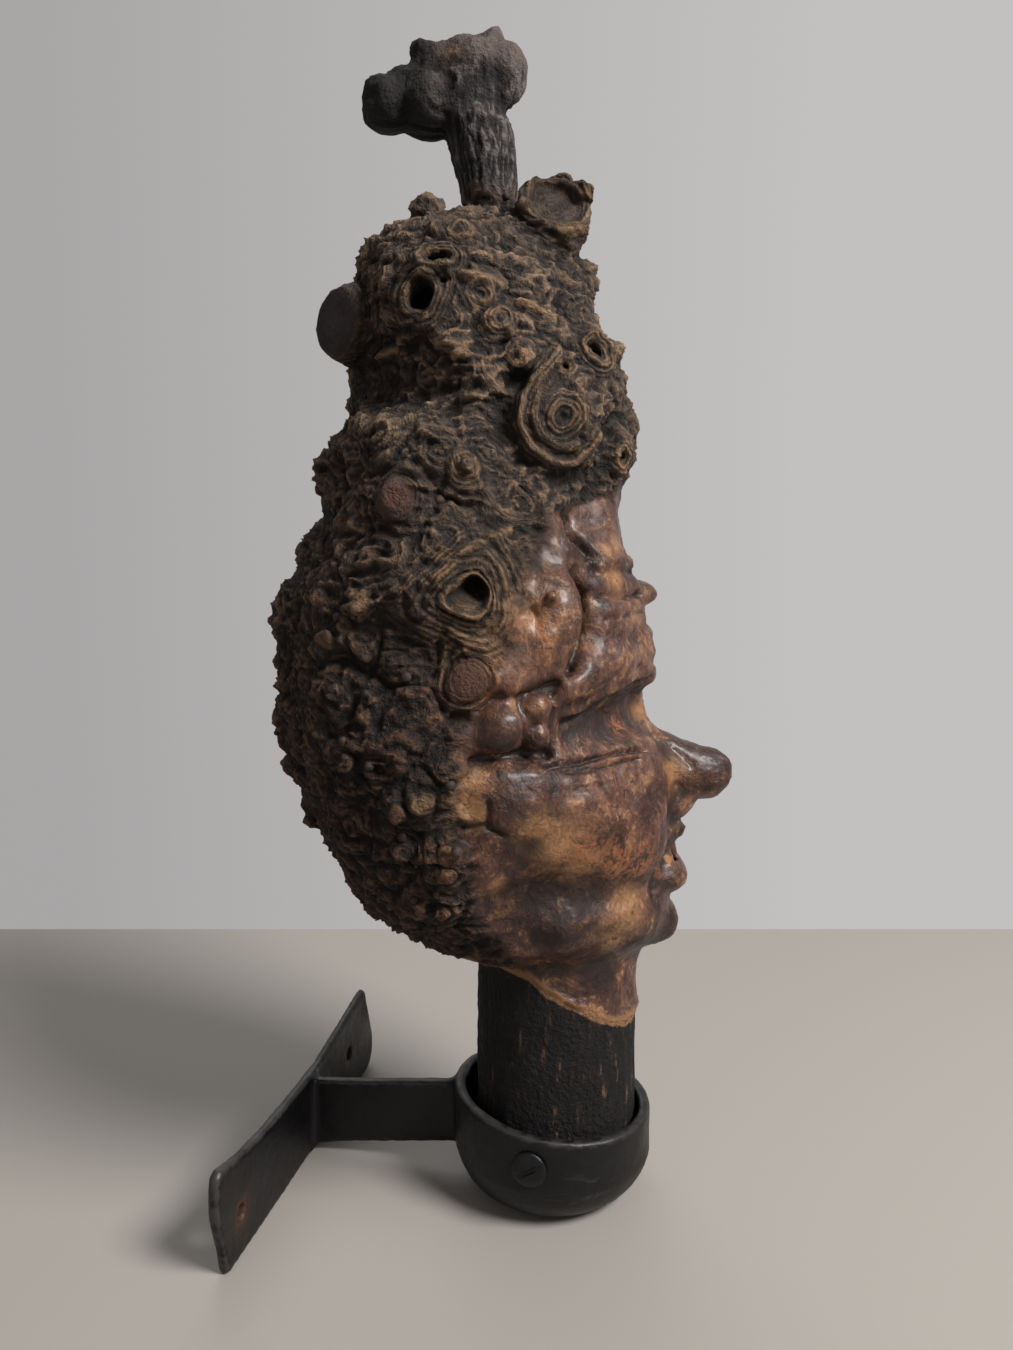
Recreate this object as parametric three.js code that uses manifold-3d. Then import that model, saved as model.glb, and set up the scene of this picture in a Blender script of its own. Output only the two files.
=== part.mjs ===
// A knotty burl of wood that reads as a head in profile, standing by its branch neck in the
// ring of a forged iron wall bracket. Millimetres, +Z up, the face looks along +X.
import * as THREE from "three";
import { mergeVertices } from "three/addons/utils/BufferGeometryUtils.js";
import Module from "manifold-3d";

const wasm = await Module();
wasm.setup();

// Driving dimensions. Places are measured from the neck's axis, at the level of the ring's foot.
const GAP = 0.3; // between pieces that touch

const RING_OFFSET = -1.2; // the neck stands a little towards the face in the ring
const RING_RADIUS = 30.7;
const RING_WALL = 3.5;
const RING_HEIGHT = 29.3;
const RING_FOOT_RADIUS = 19; // the lower wall turns in to this radius
const RING_TURN_HEIGHT = 13; // height at which the wall starts to turn in
const RIM_TILT = 0.108; // the rim drops this much for each millimetre towards the face

const ARM_ANGLE = THREE.MathUtils.degToRad(169); // the arm leaves the ring backwards
const ARM_THICKNESS = 4;
const ARM_AT_RING = { bottom: 9.1, top: 31 };
const ARM_AT_PLATE = { bottom: 3.4, top: 24.6 };

const PLATE_DISTANCE = 80.2; // ring axis to the plate's front face
const PLATE_THICKNESS = 3.5;
const PLATE_NEAR = { foot: 62.3, tip: 67.5, top: 32 }; // half length at the foot and the top
const PLATE_FAR = { foot: 56, tip: 53, top: 32.6 };
const PLATE_WAIST = 26.6; // height where the arm meets it
const PLATE_HOLE_RADIUS = 2.4;
const PLATE_HOLES = [
  { along: 54, height: 13 },
  { along: -34, height: 16 },
];

const SCREW_ANGLE = THREE.MathUtils.degToRad(255);
const SCREW_HEIGHT = 21;
const SCREW_HEAD_RADIUS = 5.4;
const SCREW_HEAD_HEIGHT = 2.2;
const SCREW_SHANK_RADIUS = 2;
const SCREW_SHANK_LENGTH = 12;
const SCREW_SLOT = { width: 1.2, depth: 1, turn: THREE.MathUtils.degToRad(30) };

const NECK_RADIUS = 24.5;
const NECK_BOTTOM = 8;
const NECK_TOP = 92;

// The head's outline: at each height, how far it reaches back, to the face, and to each side.
const STATIONS = [
  { height: 77, back: -27, face: 24, side: 20 },
  { height: 81, back: -40, face: 30, side: 28 },
  { height: 87, back: -51, face: 33, side: 36 },
  { height: 95, back: -59, face: 34, side: 42 },
  { height: 107, back: -67, face: 33, side: 48 },
  { height: 120, back: -72, face: 33, side: 52 },
  { height: 134, back: -77, face: 31, side: 55 },
  { height: 148, back: -79, face: 26, side: 56 },
  { height: 162, back: -80, face: 25, side: 56 },
  { height: 184, back: -79, face: 24, side: 54 },
  { height: 198, back: -74, face: 19, side: 50 },
  { height: 210, back: -68, face: 17, side: 46 },
  { height: 226, back: -67, face: 21, side: 45 },
  { height: 248, back: -63, face: 20, side: 41 },
  { height: 262, back: -60, face: 12, side: 38 },
  { height: 276, back: -59, face: 8, side: 36 },
  { height: 285, back: -57, face: 5, side: 32 },
  { height: 291, back: -47, face: -1, side: 25 },
  { height: 296, back: -32, face: -8, side: 14 },
];
const FACE_TAPER = 0.18; // sections are this much narrower at the face than at the middle
const ROWS = 45;
const COLUMNS = 40;

// The top stem and its broken, mushroom-like cap.
const STEM = { foot: [-19, 0, 290], top: [-25, 0, 333], footRadius: 8, topRadius: 10.5 };
const CAP_LOBES = [
  { at: [-46.5, -3, 325.5], radii: [11.5, 13, 7.5] },
  { at: [-33, 0, 332], radii: [14, 18, 8] },
  { at: [-20, 1, 336], radii: [12.5, 16, 9] },
  { at: [-41, -5, 339], radii: [4.5, 4.5, 5] },
  { at: [-19, 3, 341], radii: [5.5, 6, 5] },
  { at: [-12, -6, 330], radii: [4.5, 6, 6.5] },
];

// The nose, a tapering limb from inside the head outwards.
const NOSE = { from: [16, -2, 136], to: [45, -3, 132], fromRadius: 15, toRadius: 7.8 };

// Lips, chin and brows: rounded lumps along the face's edge.
const FACE_LOBES = [
  { name: "nostril wings", at: [33, -3, 123], radii: [8, 9, 5] },
  { name: "upper lip", at: [29, -2, 115], radii: [8, 12, 5.5] },
  { name: "lip bead", at: [36.5, -3, 114.6], radii: [2.8, 2.8, 2.8] },
  { name: "lower lip", at: [31, -3, 101], radii: [8.5, 11, 6] },
  { name: "chin", at: [27, -2, 87], radii: [10, 13, 8] },
  { name: "top brow", at: [23, -2, 187], radii: [8, 8, 4] },
  { name: "middle brow", at: [20, -2, 174], radii: [9, 15, 4.5] },
  { name: "lower brow", at: [20, -2, 163], radii: [10.5, 16, 6] },
];

// Small knobs that break the outline above.
const KNOBS = [
  { name: "crown knob", at: [-38, -3, 294], radii: [5, 5, 7] },
  { name: "crown bead", at: [2, -8, 299.5], radii: [5.5, 9, 6] },
  { name: "temple knob", at: [7, -3, 277], radii: [4, 6, 5] },
  { name: "upper knob", at: [15.5, -3, 255.5], radii: [5, 8, 5] },
];

// Round knots and lumps on the side that shows: across and height of the centre, radius, and
// how far the knot stands proud of the head. A lump with an end runs on to that place.
const KNOTS = [
  { across: -1, height: 232, radius: 13, proud: 6 },
  { across: 12, height: 253, radius: 10, proud: 4 },
  { across: 19, height: 227, radius: 7, proud: 5 },
  { across: 5, height: 274, radius: 8, proud: 5 },
  { across: -39, height: 264, radius: 14, proud: 6 },
  { across: -33, height: 276, radius: 9, proud: 3 },
  { across: -26, height: 218, radius: 10, proud: 4, end: { across: -45, height: 214 } },
  { across: -66, height: 222, radius: 9, proud: 4 },
  { across: -73, height: 200, radius: 8, proud: 4 },
  { across: -81, height: 180, radius: 9, proud: 4 },
  { across: -81, height: 158, radius: 11, proud: 3 },
  { across: -80, height: 138, radius: 10, proud: 4 },
  { across: -73, height: 121, radius: 6, proud: 6 },
  { across: -62, height: 97, radius: 9, proud: 4 },
  { across: -27, height: 188, radius: 17, proud: 5 },
  { across: -50, height: 186, radius: 9, proud: 3, end: { across: -40, height: 190 } },
  { across: -4, height: 188, radius: 8, proud: 6, end: { across: -2, height: 176 } },
  { across: -14, height: 172, radius: 8, proud: 4, end: { across: -3, height: 168 } },
  { across: -17, height: 154, radius: 8, proud: 6 },
  { across: -8, height: 160, radius: 5, proud: 5 },
  { across: 14, height: 204, radius: 9, proud: 4, end: { across: 12, height: 196 } },
  { across: 8, height: 184, radius: 6, proud: 5, end: { across: 22, height: 188 } },
  { across: 9, height: 174, radius: 6, proud: 4, end: { across: 22, height: 177 } },
  { across: 2, height: 157, radius: 8, proud: 7, end: { across: 24, height: 167 } },
  { across: -14, height: 135, radius: 9, proud: 5, end: { across: 4, height: 130 } },
  { across: 6, height: 128, radius: 10, proud: 5, end: { across: 28, height: 124 } },
  { across: 18, height: 113, radius: 12, proud: 3 },
  { across: 2, height: 96, radius: 11, proud: 4, end: { across: 24, height: 90 } },
  { across: 27, height: 134, radius: 14, proud: 5 },
  { across: -31, height: 119, radius: 9, proud: 4 },
  { across: -43, height: 133, radius: 9, proud: 4 },
  { across: -40, height: 104, radius: 9, proud: 4 },
  { across: -62, height: 150, radius: 10, proud: 3 },
  { across: -60, height: 122, radius: 10, proud: 3 },
];

// Folds and hollow places in the skin, in the same terms.
const FOLDS = [
  { across: -40, height: 249, radius: 10, depth: 6, end: { across: -56, height: 250 } },
  { across: -18, height: 226, radius: 8, depth: 3, end: { across: 6, height: 214 } },
  { across: -1, height: 205, radius: 5, depth: 4, end: { across: 3, height: 176 } },
  { across: 4, height: 151, radius: 7, depth: 8, end: { across: 22, height: 153 } },
  { across: -20, height: 146, radius: 6, depth: 3, end: { across: 22, height: 143 } },
  { across: -11, height: 112, radius: 9, depth: 3, end: { across: 8, height: 106 } },
  { across: -34, height: 172, radius: 9, depth: 4, end: { across: -52, height: 166 } },
  { across: 36, height: 108, radius: 6, depth: 5 },
];

// Sawn branch stubs: radius, and length out of the head.
const STUBS = [
  { name: "sawn branch", across: -58, height: 260, radius: 8.4, proud: 6, aim: [-0.75, -0.62, 0] },
  { name: "branch collar", across: -59, height: 252, radius: 6, proud: 4, aim: [-0.9, -0.2, -0.1] },
  { name: "crown stub", across: -3, height: 292, radius: 9, proud: 6, aim: [0.35, -0.85, 0.35] },
  { name: "ringed stub", across: -25, height: 165, radius: 6, proud: 4, aim: [0.1, -1, 0.15] },
  { name: "small stub", across: -43, height: 211, radius: 4.4, proud: 4.5, aim: [-0.2, -1, 0.1] },
];

// Open hollows where branches rotted out.
const HOLLOWS = [
  { across: -25, height: 188, radius: 5, depth: 11 },
  { across: -38, height: 262, radius: 3.6, depth: 9 },
  { across: -33, height: 271.5, radius: 2.8, depth: 7 },
  { across: 34, height: 106.5, radius: 2.2, depth: 5, aim: [0.2, -0.5, 0.84], y: -5 },
];

const FAR_KNOTS = 13;
const FAR_KNOT_RADIUS = 11;
const FAR_KNOT_PROUD = 4;
const FAR_KNOT_LOWEST = 92;
const FAR_KNOT_HIGHEST = 286;
const FAR_KNOT_TURN = 0.618;

function vector(list) {
  return new THREE.Vector3(list[0], list[1], list[2]);
}

// Turns a closed geometry into a solid that can be joined and cut.
function solid(geometry) {
  const bare = geometry.clone();
  bare.deleteAttribute("normal");
  bare.deleteAttribute("uv");
  const merged = mergeVertices(bare, 1e-4);
  const mesh = new wasm.Mesh({
    numProp: 3,
    vertProperties: new Float32Array(merged.attributes.position.array),
    triVerts: new Uint32Array(merged.index.array),
  });
  return new wasm.Manifold(mesh);
}

function geometryOf(body) {
  const mesh = body.getMesh();
  const geometry = new THREE.BufferGeometry();
  geometry.setAttribute("position", new THREE.BufferAttribute(mesh.vertProperties, 3));
  geometry.setIndex(new THREE.BufferAttribute(mesh.triVerts, 1));
  return geometry;
}

function joined(solids) {
  return solids.reduce((whole, next) => whole.add(next));
}

// A limb with round ends, tapering from one radius to the other.
function limb(from, to, fromRadius, toRadius, sides = 12, steps = 4) {
  const start = vector(from);
  const axis = vector(to).sub(start);
  const length = axis.length();
  const profile = [];
  for (let step = 0; step <= steps; step += 1) {
    const angle = -Math.PI / 2 + (step / steps) * (Math.PI / 2);
    profile.push(new THREE.Vector2(Math.cos(angle) * fromRadius, Math.sin(angle) * fromRadius));
  }
  for (let step = 0; step <= steps; step += 1) {
    const angle = (step / steps) * (Math.PI / 2);
    profile.push(new THREE.Vector2(Math.cos(angle) * toRadius, length + Math.sin(angle) * toRadius));
  }
  profile[0].x = 0;
  profile[profile.length - 1].x = 0;
  const geometry = new THREE.LatheGeometry(profile, sides);
  const turn = new THREE.Quaternion().setFromUnitVectors(new THREE.Vector3(0, 1, 0), axis.normalize());
  geometry.applyQuaternion(turn);
  geometry.translate(start.x, start.y, start.z);
  return solid(geometry);
}

function ball(at, radii) {
  const geometry = new THREE.SphereGeometry(1, 10, 7);
  geometry.scale(radii[0], radii[1], radii[2]);
  geometry.translate(at[0], at[1], at[2]);
  return solid(geometry);
}

// The head's section at a height, with a smooth blend between neighbouring stations.
function sectionAt(height) {
  let upper = STATIONS.findIndex((station) => station.height >= height);
  upper = upper < 0 ? STATIONS.length - 1 : Math.max(upper, 1);
  const low = STATIONS[upper - 1];
  const high = STATIONS[upper];
  const share = THREE.MathUtils.clamp((height - low.height) / (high.height - low.height), 0, 1);
  const back = THREE.MathUtils.lerp(low.back, high.back, share);
  const face = THREE.MathUtils.lerp(low.face, high.face, share);
  const side = THREE.MathUtils.lerp(low.side, high.side, share);
  return { middle: (back + face) / 2, reach: (face - back) / 2, side };
}

function sideReach(section, forward) {
  return section.side * (1 - FACE_TAPER * forward);
}

// The point of the head's skin at a place across and up, on the near (-Y) or far side.
function skinPoint(across, height, nearSide = true) {
  const section = sectionAt(height);
  const forward = THREE.MathUtils.clamp((across - section.middle) / section.reach, -0.97, 0.97);
  const y = sideReach(section, forward) * Math.sqrt(1 - forward * forward);
  return new THREE.Vector3(across, nearSide ? -y : y, height);
}

function outwards(point) {
  const section = sectionAt(point.z);
  const x = (point.x - section.middle) / section.reach ** 2;
  const y = point.y / section.side ** 2;
  return new THREE.Vector3(x, y, 0).normalize();
}

// Low burl swellings over the whole head.
function swelling({ x, y, z }) {
  return 1.1 * Math.sin(x / 7.5 + z / 11) * Math.sin(z / 8.5 - y / 10) + 0.7 * Math.sin(y / 5.5 + z / 6);
}

// A lump or fold as a stretch of the skin, with its height above the skin.
function stretch({ across, height, radius, end, proud = 0, depth = 0 }, nearSide = true) {
  const start = skinPoint(across, height, nearSide);
  const stop = end ? skinPoint(end.across, end.height, nearSide) : start.clone();
  return { line: new THREE.Line3(start, stop), radius, rise: proud - depth };
}

// The far side has fewer, plainer knots, spread by a fixed turn.
function farStretches() {
  const list = [];
  for (let count = 0; count < FAR_KNOTS; count += 1) {
    const height = THREE.MathUtils.lerp(FAR_KNOT_LOWEST, FAR_KNOT_HIGHEST, (count + 0.5) / FAR_KNOTS);
    const section = sectionAt(height);
    const spread = 2 * ((count * FAR_KNOT_TURN) % 1) - 1;
    const across = section.middle + section.reach * 0.85 * spread;
    list.push(stretch({ across, height, radius: FAR_KNOT_RADIUS, proud: FAR_KNOT_PROUD }, false));
  }
  return list;
}

const STRETCHES = [...KNOTS, ...FOLDS].map((item) => stretch(item)).concat(farStretches());

function reliefAt(point) {
  const nearest = new THREE.Vector3();
  let rise = swelling(point);
  for (const item of STRETCHES) {
    item.line.closestPointToPoint(point, true, nearest);
    const share = nearest.distanceTo(point) / item.radius;
    rise += item.rise * Math.exp(-(share ** 2));
  }
  return rise;
}

function headLoft() {
  const positions = [];
  const faces = [];
  const bottom = STATIONS[0].height;
  const top = STATIONS[STATIONS.length - 1].height;
  for (let row = 0; row <= ROWS; row += 1) {
    const height = THREE.MathUtils.lerp(bottom, top, row / ROWS);
    const section = sectionAt(height);
    for (let column = 0; column < COLUMNS; column += 1) {
      const angle = (column / COLUMNS) * 2 * Math.PI;
      const forward = Math.cos(angle);
      const x = section.middle + section.reach * forward;
      const y = sideReach(section, forward) * Math.sin(angle);
      const point = new THREE.Vector3(x, y, height);
      point.addScaledVector(outwards(point), reliefAt(point));
      positions.push(point.x, point.y, point.z);
    }
  }
  for (let row = 0; row < ROWS; row += 1) {
    for (let column = 0; column < COLUMNS; column += 1) {
      const next = (column + 1) % COLUMNS;
      const a = row * COLUMNS + column;
      const b = row * COLUMNS + next;
      faces.push(a, b, b + COLUMNS, a, b + COLUMNS, a + COLUMNS);
    }
  }
  const lowCentre = positions.length / 3;
  positions.push(sectionAt(bottom).middle, 0, bottom);
  positions.push(sectionAt(top).middle, 0, top);
  for (let column = 0; column < COLUMNS; column += 1) {
    const next = (column + 1) % COLUMNS;
    const lastRow = ROWS * COLUMNS;
    faces.push(lowCentre, next, column);
    faces.push(lowCentre + 1, lastRow + column, lastRow + next);
  }
  const geometry = new THREE.BufferGeometry();
  geometry.setAttribute("position", new THREE.Float32BufferAttribute(positions, 3));
  geometry.setIndex(faces);
  return solid(geometry);
}

function neck() {
  const chamfer = 2.2;
  const profile = [
    new THREE.Vector2(0, NECK_BOTTOM),
    new THREE.Vector2(NECK_RADIUS - chamfer, NECK_BOTTOM),
    new THREE.Vector2(NECK_RADIUS, NECK_BOTTOM + chamfer),
    new THREE.Vector2(NECK_RADIUS - 0.4, 36),
    new THREE.Vector2(NECK_RADIUS + 0.3, 60),
    new THREE.Vector2(NECK_RADIUS - 1.2, 70),
    new THREE.Vector2(NECK_RADIUS, NECK_TOP),
    new THREE.Vector2(0, NECK_TOP),
  ];
  const geometry = new THREE.LatheGeometry(profile, 32);
  geometry.rotateX(Math.PI / 2);
  return solid(geometry);
}

function stub({ across, height, radius, proud, aim }) {
  const skin = skinPoint(across, height);
  const out = vector(aim).normalize();
  const buried = radius * 1.5;
  const geometry = new THREE.CylinderGeometry(radius, radius * 1.12, proud + buried, 16);
  geometry.translate(0, (proud - buried) / 2, 0);
  geometry.applyQuaternion(new THREE.Quaternion().setFromUnitVectors(new THREE.Vector3(0, 1, 0), out));
  geometry.translate(skin.x, skin.y, skin.z);
  return solid(geometry);
}

function hollow({ across, height, radius, depth, aim, y }) {
  const mouth = y === undefined ? skinPoint(across, height) : new THREE.Vector3(across, y, height);
  const out = aim ? vector(aim).normalize() : outwards(mouth);
  const outside = mouth.clone().addScaledVector(out, radius * 2.5);
  const bottom = mouth.clone().addScaledVector(out, radius * 0.6 - depth);
  return limb(bottom.toArray(), outside.toArray(), radius * 0.6, radius * 1.15, 10, 3);
}

function screwPlace() {
  const group = new THREE.Matrix4();
  const out = new THREE.Vector3(Math.cos(SCREW_ANGLE), Math.sin(SCREW_ANGLE), 0);
  const turn = new THREE.Quaternion().setFromUnitVectors(new THREE.Vector3(0, 1, 0), out);
  const place = out.multiplyScalar(RING_RADIUS + GAP).setZ(SCREW_HEIGHT);
  place.x += RING_OFFSET;
  return group.compose(place, turn, new THREE.Vector3(1, 1, 1));
}

// The clearance that the screw's shank passes through, in the ring and in the neck.
function screwHole() {
  const length = SCREW_SHANK_LENGTH + 2 * GAP + 1;
  const geometry = new THREE.CylinderGeometry(SCREW_SHANK_RADIUS + GAP, SCREW_SHANK_RADIUS + GAP, length, 16);
  geometry.translate(0, 1 - length / 2, 0);
  geometry.applyMatrix4(screwPlace());
  return solid(geometry);
}

function screw() {
  const profile = [new THREE.Vector2(0, -SCREW_SHANK_LENGTH)];
  profile.push(new THREE.Vector2(SCREW_SHANK_RADIUS * 0.4, -SCREW_SHANK_LENGTH));
  profile.push(new THREE.Vector2(SCREW_SHANK_RADIUS, -SCREW_SHANK_LENGTH + 3));
  profile.push(new THREE.Vector2(SCREW_SHANK_RADIUS, 0));
  profile.push(new THREE.Vector2(SCREW_HEAD_RADIUS, 0));
  const domeSteps = 4;
  for (let step = 1; step <= domeSteps; step += 1) {
    const angle = (step / domeSteps) * (Math.PI / 2);
    const radius = step === domeSteps ? 0 : SCREW_HEAD_RADIUS * Math.cos(angle);
    profile.push(new THREE.Vector2(radius, 0.5 + (SCREW_HEAD_HEIGHT - 0.5) * Math.sin(angle)));
  }
  const body = new THREE.LatheGeometry(profile, 16);
  const slot = new THREE.BoxGeometry(3 * SCREW_HEAD_RADIUS, 2 * SCREW_SLOT.depth, SCREW_SLOT.width);
  slot.rotateY(SCREW_SLOT.turn);
  slot.translate(0, SCREW_HEAD_HEIGHT, 0);
  const place = screwPlace();
  body.applyMatrix4(place);
  slot.applyMatrix4(place);
  return solid(body).subtract(solid(slot));
}

// The ring's wall: upright above, turned in below, with its rim tilted.
function ring() {
  const turn = new THREE.QuadraticBezierCurve(
    new THREE.Vector2(RING_FOOT_RADIUS, 0),
    new THREE.Vector2(RING_RADIUS - 2.5, 0.2 * RING_TURN_HEIGHT),
    new THREE.Vector2(RING_RADIUS, RING_TURN_HEIGHT),
  );
  const outer = turn.getPoints(4);
  const inner = outer.map((point) => new THREE.Vector2(point.x - RING_WALL, point.y)).reverse();
  const profile = [...outer];
  profile.push(new THREE.Vector2(RING_RADIUS, RING_HEIGHT - 1));
  profile.push(new THREE.Vector2(RING_RADIUS - 1, RING_HEIGHT));
  profile.push(new THREE.Vector2(RING_RADIUS - RING_WALL + 1, RING_HEIGHT));
  profile.push(new THREE.Vector2(RING_RADIUS - RING_WALL, RING_HEIGHT - 1));
  profile.push(...inner, outer[0].clone());
  const geometry = new THREE.LatheGeometry(profile, 36);
  geometry.rotateX(Math.PI / 2);
  const position = geometry.attributes.position;
  for (let index = 0; index < position.count; index += 1) {
    const rise = position.getZ(index) / RING_HEIGHT;
    position.setZ(index, position.getZ(index) - RIM_TILT * position.getX(index) * rise * rise);
  }
  return solid(geometry);
}

// Arm and plate are drawn in upright planes and turned to the arm's direction.
function arm() {
  const ringEnd = RING_RADIUS - RING_WALL / 2;
  const plateEnd = PLATE_DISTANCE + PLATE_THICKNESS / 2;
  const outline = new THREE.Shape();
  outline.moveTo(ringEnd, ARM_AT_RING.bottom);
  outline.lineTo(plateEnd - 10, ARM_AT_PLATE.bottom + 0.6);
  outline.quadraticCurveTo(plateEnd - 3, ARM_AT_PLATE.bottom, plateEnd, 1);
  outline.lineTo(plateEnd, ARM_AT_PLATE.top);
  outline.lineTo(ringEnd, ARM_AT_RING.top);
  const geometry = new THREE.ExtrudeGeometry(outline, {
    depth: ARM_THICKNESS,
    bevelEnabled: false,
    curveSegments: 4,
  });
  geometry.translate(0, 0, -ARM_THICKNESS / 2);
  geometry.rotateX(Math.PI / 2);
  geometry.rotateZ(ARM_ANGLE);
  return solid(geometry);
}

function plate() {
  const outline = new THREE.Shape();
  outline.moveTo(-PLATE_FAR.foot, 0);
  outline.lineTo(PLATE_NEAR.foot, 0);
  outline.lineTo(PLATE_NEAR.tip, 19);
  outline.quadraticCurveTo(PLATE_NEAR.tip + 1.5, PLATE_NEAR.top - 1, PLATE_NEAR.tip - 3, PLATE_NEAR.top);
  outline.quadraticCurveTo(PLATE_NEAR.foot * 0.75, PLATE_WAIST, 8, PLATE_WAIST);
  outline.lineTo(-8, PLATE_WAIST);
  outline.quadraticCurveTo(-PLATE_FAR.foot * 0.5, PLATE_FAR.top - 3, -PLATE_FAR.tip, PLATE_FAR.top);
  outline.lineTo(-PLATE_FAR.foot - 5, 12);
  outline.quadraticCurveTo(-PLATE_FAR.foot - 6, 1.5, -PLATE_FAR.foot, 0);
  for (const hole of PLATE_HOLES) {
    const round = new THREE.Path();
    round.absarc(hole.along, hole.height, PLATE_HOLE_RADIUS, 0, Math.PI * 2, true);
    outline.holes.push(round);
  }
  const geometry = new THREE.ExtrudeGeometry(outline, {
    depth: PLATE_THICKNESS,
    bevelEnabled: false,
    curveSegments: 8,
  });
  geometry.rotateX(Math.PI / 2);
  geometry.rotateZ(Math.PI / 2);
  geometry.translate(PLATE_DISTANCE, 0, 0);
  geometry.rotateZ(ARM_ANGLE);
  return solid(geometry);
}

function bracket() {
  const cavity = new THREE.CylinderGeometry(
    RING_RADIUS - RING_WALL,
    RING_RADIUS - RING_WALL,
    2 * RING_HEIGHT,
    48,
  );
  cavity.rotateX(Math.PI / 2);
  cavity.translate(0, 0, RING_HEIGHT + RING_TURN_HEIGHT);
  const armClear = arm().subtract(solid(cavity));
  return joined([ring(), armClear, plate()]).translate([RING_OFFSET, 0, 0]).subtract(screwHole());
}

function burlHead() {
  const nose = limb(NOSE.from, NOSE.to, NOSE.fromRadius, NOSE.toRadius, 12, 3);
  const lobes = [...FACE_LOBES, ...CAP_LOBES, ...KNOBS].map(({ at, radii }) => ball(at, radii));
  const stem = limb(STEM.foot, STEM.top, STEM.footRadius, STEM.topRadius, 16, 2);
  const mass = joined([headLoft(), neck(), stem, nose, ...lobes]);
  const stubs = joined(STUBS.map(stub));
  const hollows = joined(HOLLOWS.map(hollow));
  return joined([mass, stubs]).subtract(hollows).subtract(screwHole());
}

const burlWood = new THREE.MeshStandardMaterial({ color: 0x4a3222, roughness: 0.75, metalness: 0 });
const blackIron = new THREE.MeshStandardMaterial({ color: 0x17181b, roughness: 0.5, metalness: 0.6 });
const paintedScrew = new THREE.MeshStandardMaterial({ color: 0x1a1b1e, roughness: 0.45, metalness: 0.6 });

const parts = [
  ["burl_head", burlHead(), burlWood],
  ["iron_bracket", bracket(), blackIron],
  ["neck_screw", screw(), paintedScrew],
];

const sculpture = new THREE.Group();
for (const [name, body, material] of parts) {
  const mesh = new THREE.Mesh(geometryOf(body), material);
  mesh.name = name;
  sculpture.add(mesh);
}

// The origin is the middle of the whole object's footprint, at the level it stands on.
const box = new THREE.Box3().setFromObject(sculpture);
const centre = box.getCenter(new THREE.Vector3());
sculpture.position.set(-centre.x, -centre.y, -box.min.z);
sculpture.updateMatrixWorld(true);

export default sculpture;
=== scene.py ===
# %% [markdown]
# # A burl that reads as a head, standing in an iron ring
# The object is one knotty growth of wood held by its branch neck in a forged iron bracket. The
# CAD frame gives the three pieces their places. Here each piece is grown again with its real
# surface: bark, burl rings, varnished wood and painted iron. All modelling below is in
# millimetres from the neck's axis, and is moved into the frame's metres at the end.

# %% Load the frame
import math

import bpy
import numpy as np
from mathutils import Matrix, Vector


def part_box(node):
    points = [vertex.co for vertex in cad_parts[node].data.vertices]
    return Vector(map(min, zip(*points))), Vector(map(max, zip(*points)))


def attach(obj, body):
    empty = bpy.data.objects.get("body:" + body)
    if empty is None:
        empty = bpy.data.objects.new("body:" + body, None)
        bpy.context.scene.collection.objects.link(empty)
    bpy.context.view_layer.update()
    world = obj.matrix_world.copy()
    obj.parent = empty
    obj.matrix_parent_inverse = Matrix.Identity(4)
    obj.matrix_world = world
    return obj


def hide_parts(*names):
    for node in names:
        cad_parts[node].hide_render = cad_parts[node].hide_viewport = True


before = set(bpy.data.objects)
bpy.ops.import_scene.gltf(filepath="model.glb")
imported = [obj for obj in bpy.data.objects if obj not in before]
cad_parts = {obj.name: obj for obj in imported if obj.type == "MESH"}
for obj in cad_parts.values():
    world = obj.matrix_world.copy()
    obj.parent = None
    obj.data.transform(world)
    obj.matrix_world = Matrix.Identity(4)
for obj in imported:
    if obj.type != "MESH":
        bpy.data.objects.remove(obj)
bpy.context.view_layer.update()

import openvdb
from mathutils import Matrix, Vector

bracket_low, bracket_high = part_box("iron_bracket")
RING_EDGE = 0.0295  # neck axis to the ring's outermost point towards the face
PLATE_EDGE = 0.051325  # neck axis to the plate's nearest corner
NECK_AXIS = Vector((bracket_high.x - RING_EDGE, bracket_low.y + PLATE_EDGE, 0))

# %% [markdown]
# ## Camera, light and floor
# The sculpture is seen from a little above its middle and from close by, so the camera has a
# short lens. The light is a broad soft one from the upper right, with a weak fill.

# %% Camera
CAMERA_PLACE = Vector((-15.7, -302, 193)) / 1000
CAMERA_PITCH = math.radians(6)
CAMERA_LENS = 26.67

camera_data = bpy.data.cameras.new("camera")
camera_data.lens = CAMERA_LENS
camera_data.clip_start = 0.01
camera = bpy.data.objects.new("camera", camera_data)
bpy.context.scene.collection.objects.link(camera)
camera.location = NECK_AXIS + CAMERA_PLACE
camera.rotation_euler = (math.radians(90) - CAMERA_PITCH, 0, 0)
bpy.context.scene.camera = camera
print("camera", [round(value, 3) for value in camera.location])

# %% Lights
def area_light(name, place, aim, size, power, colour):
    data = bpy.data.lights.new(name, "AREA")
    data.shape = "DISK"
    data.size = size
    data.energy = power
    data.color = colour
    light = bpy.data.objects.new(name, data)
    light.location = place
    light.rotation_euler = (Vector(aim) - Vector(place)).to_track_quat("-Z", "Y").to_euler()
    bpy.context.scene.collection.objects.link(light)
    return light


AIM = (0, 0, 0.18)
area_light("window", (0.75, -0.55, 0.95), AIM, 0.5, 24, (1.0, 0.985, 0.97))
area_light("fill", (-0.7, -1.0, 0.6), AIM, 1.0, 1.2, (0.95, 0.97, 1.0))
area_light("back", (-0.2, 0.9, 0.9), AIM, 0.8, 2.5, (1.0, 1.0, 1.0))

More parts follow.
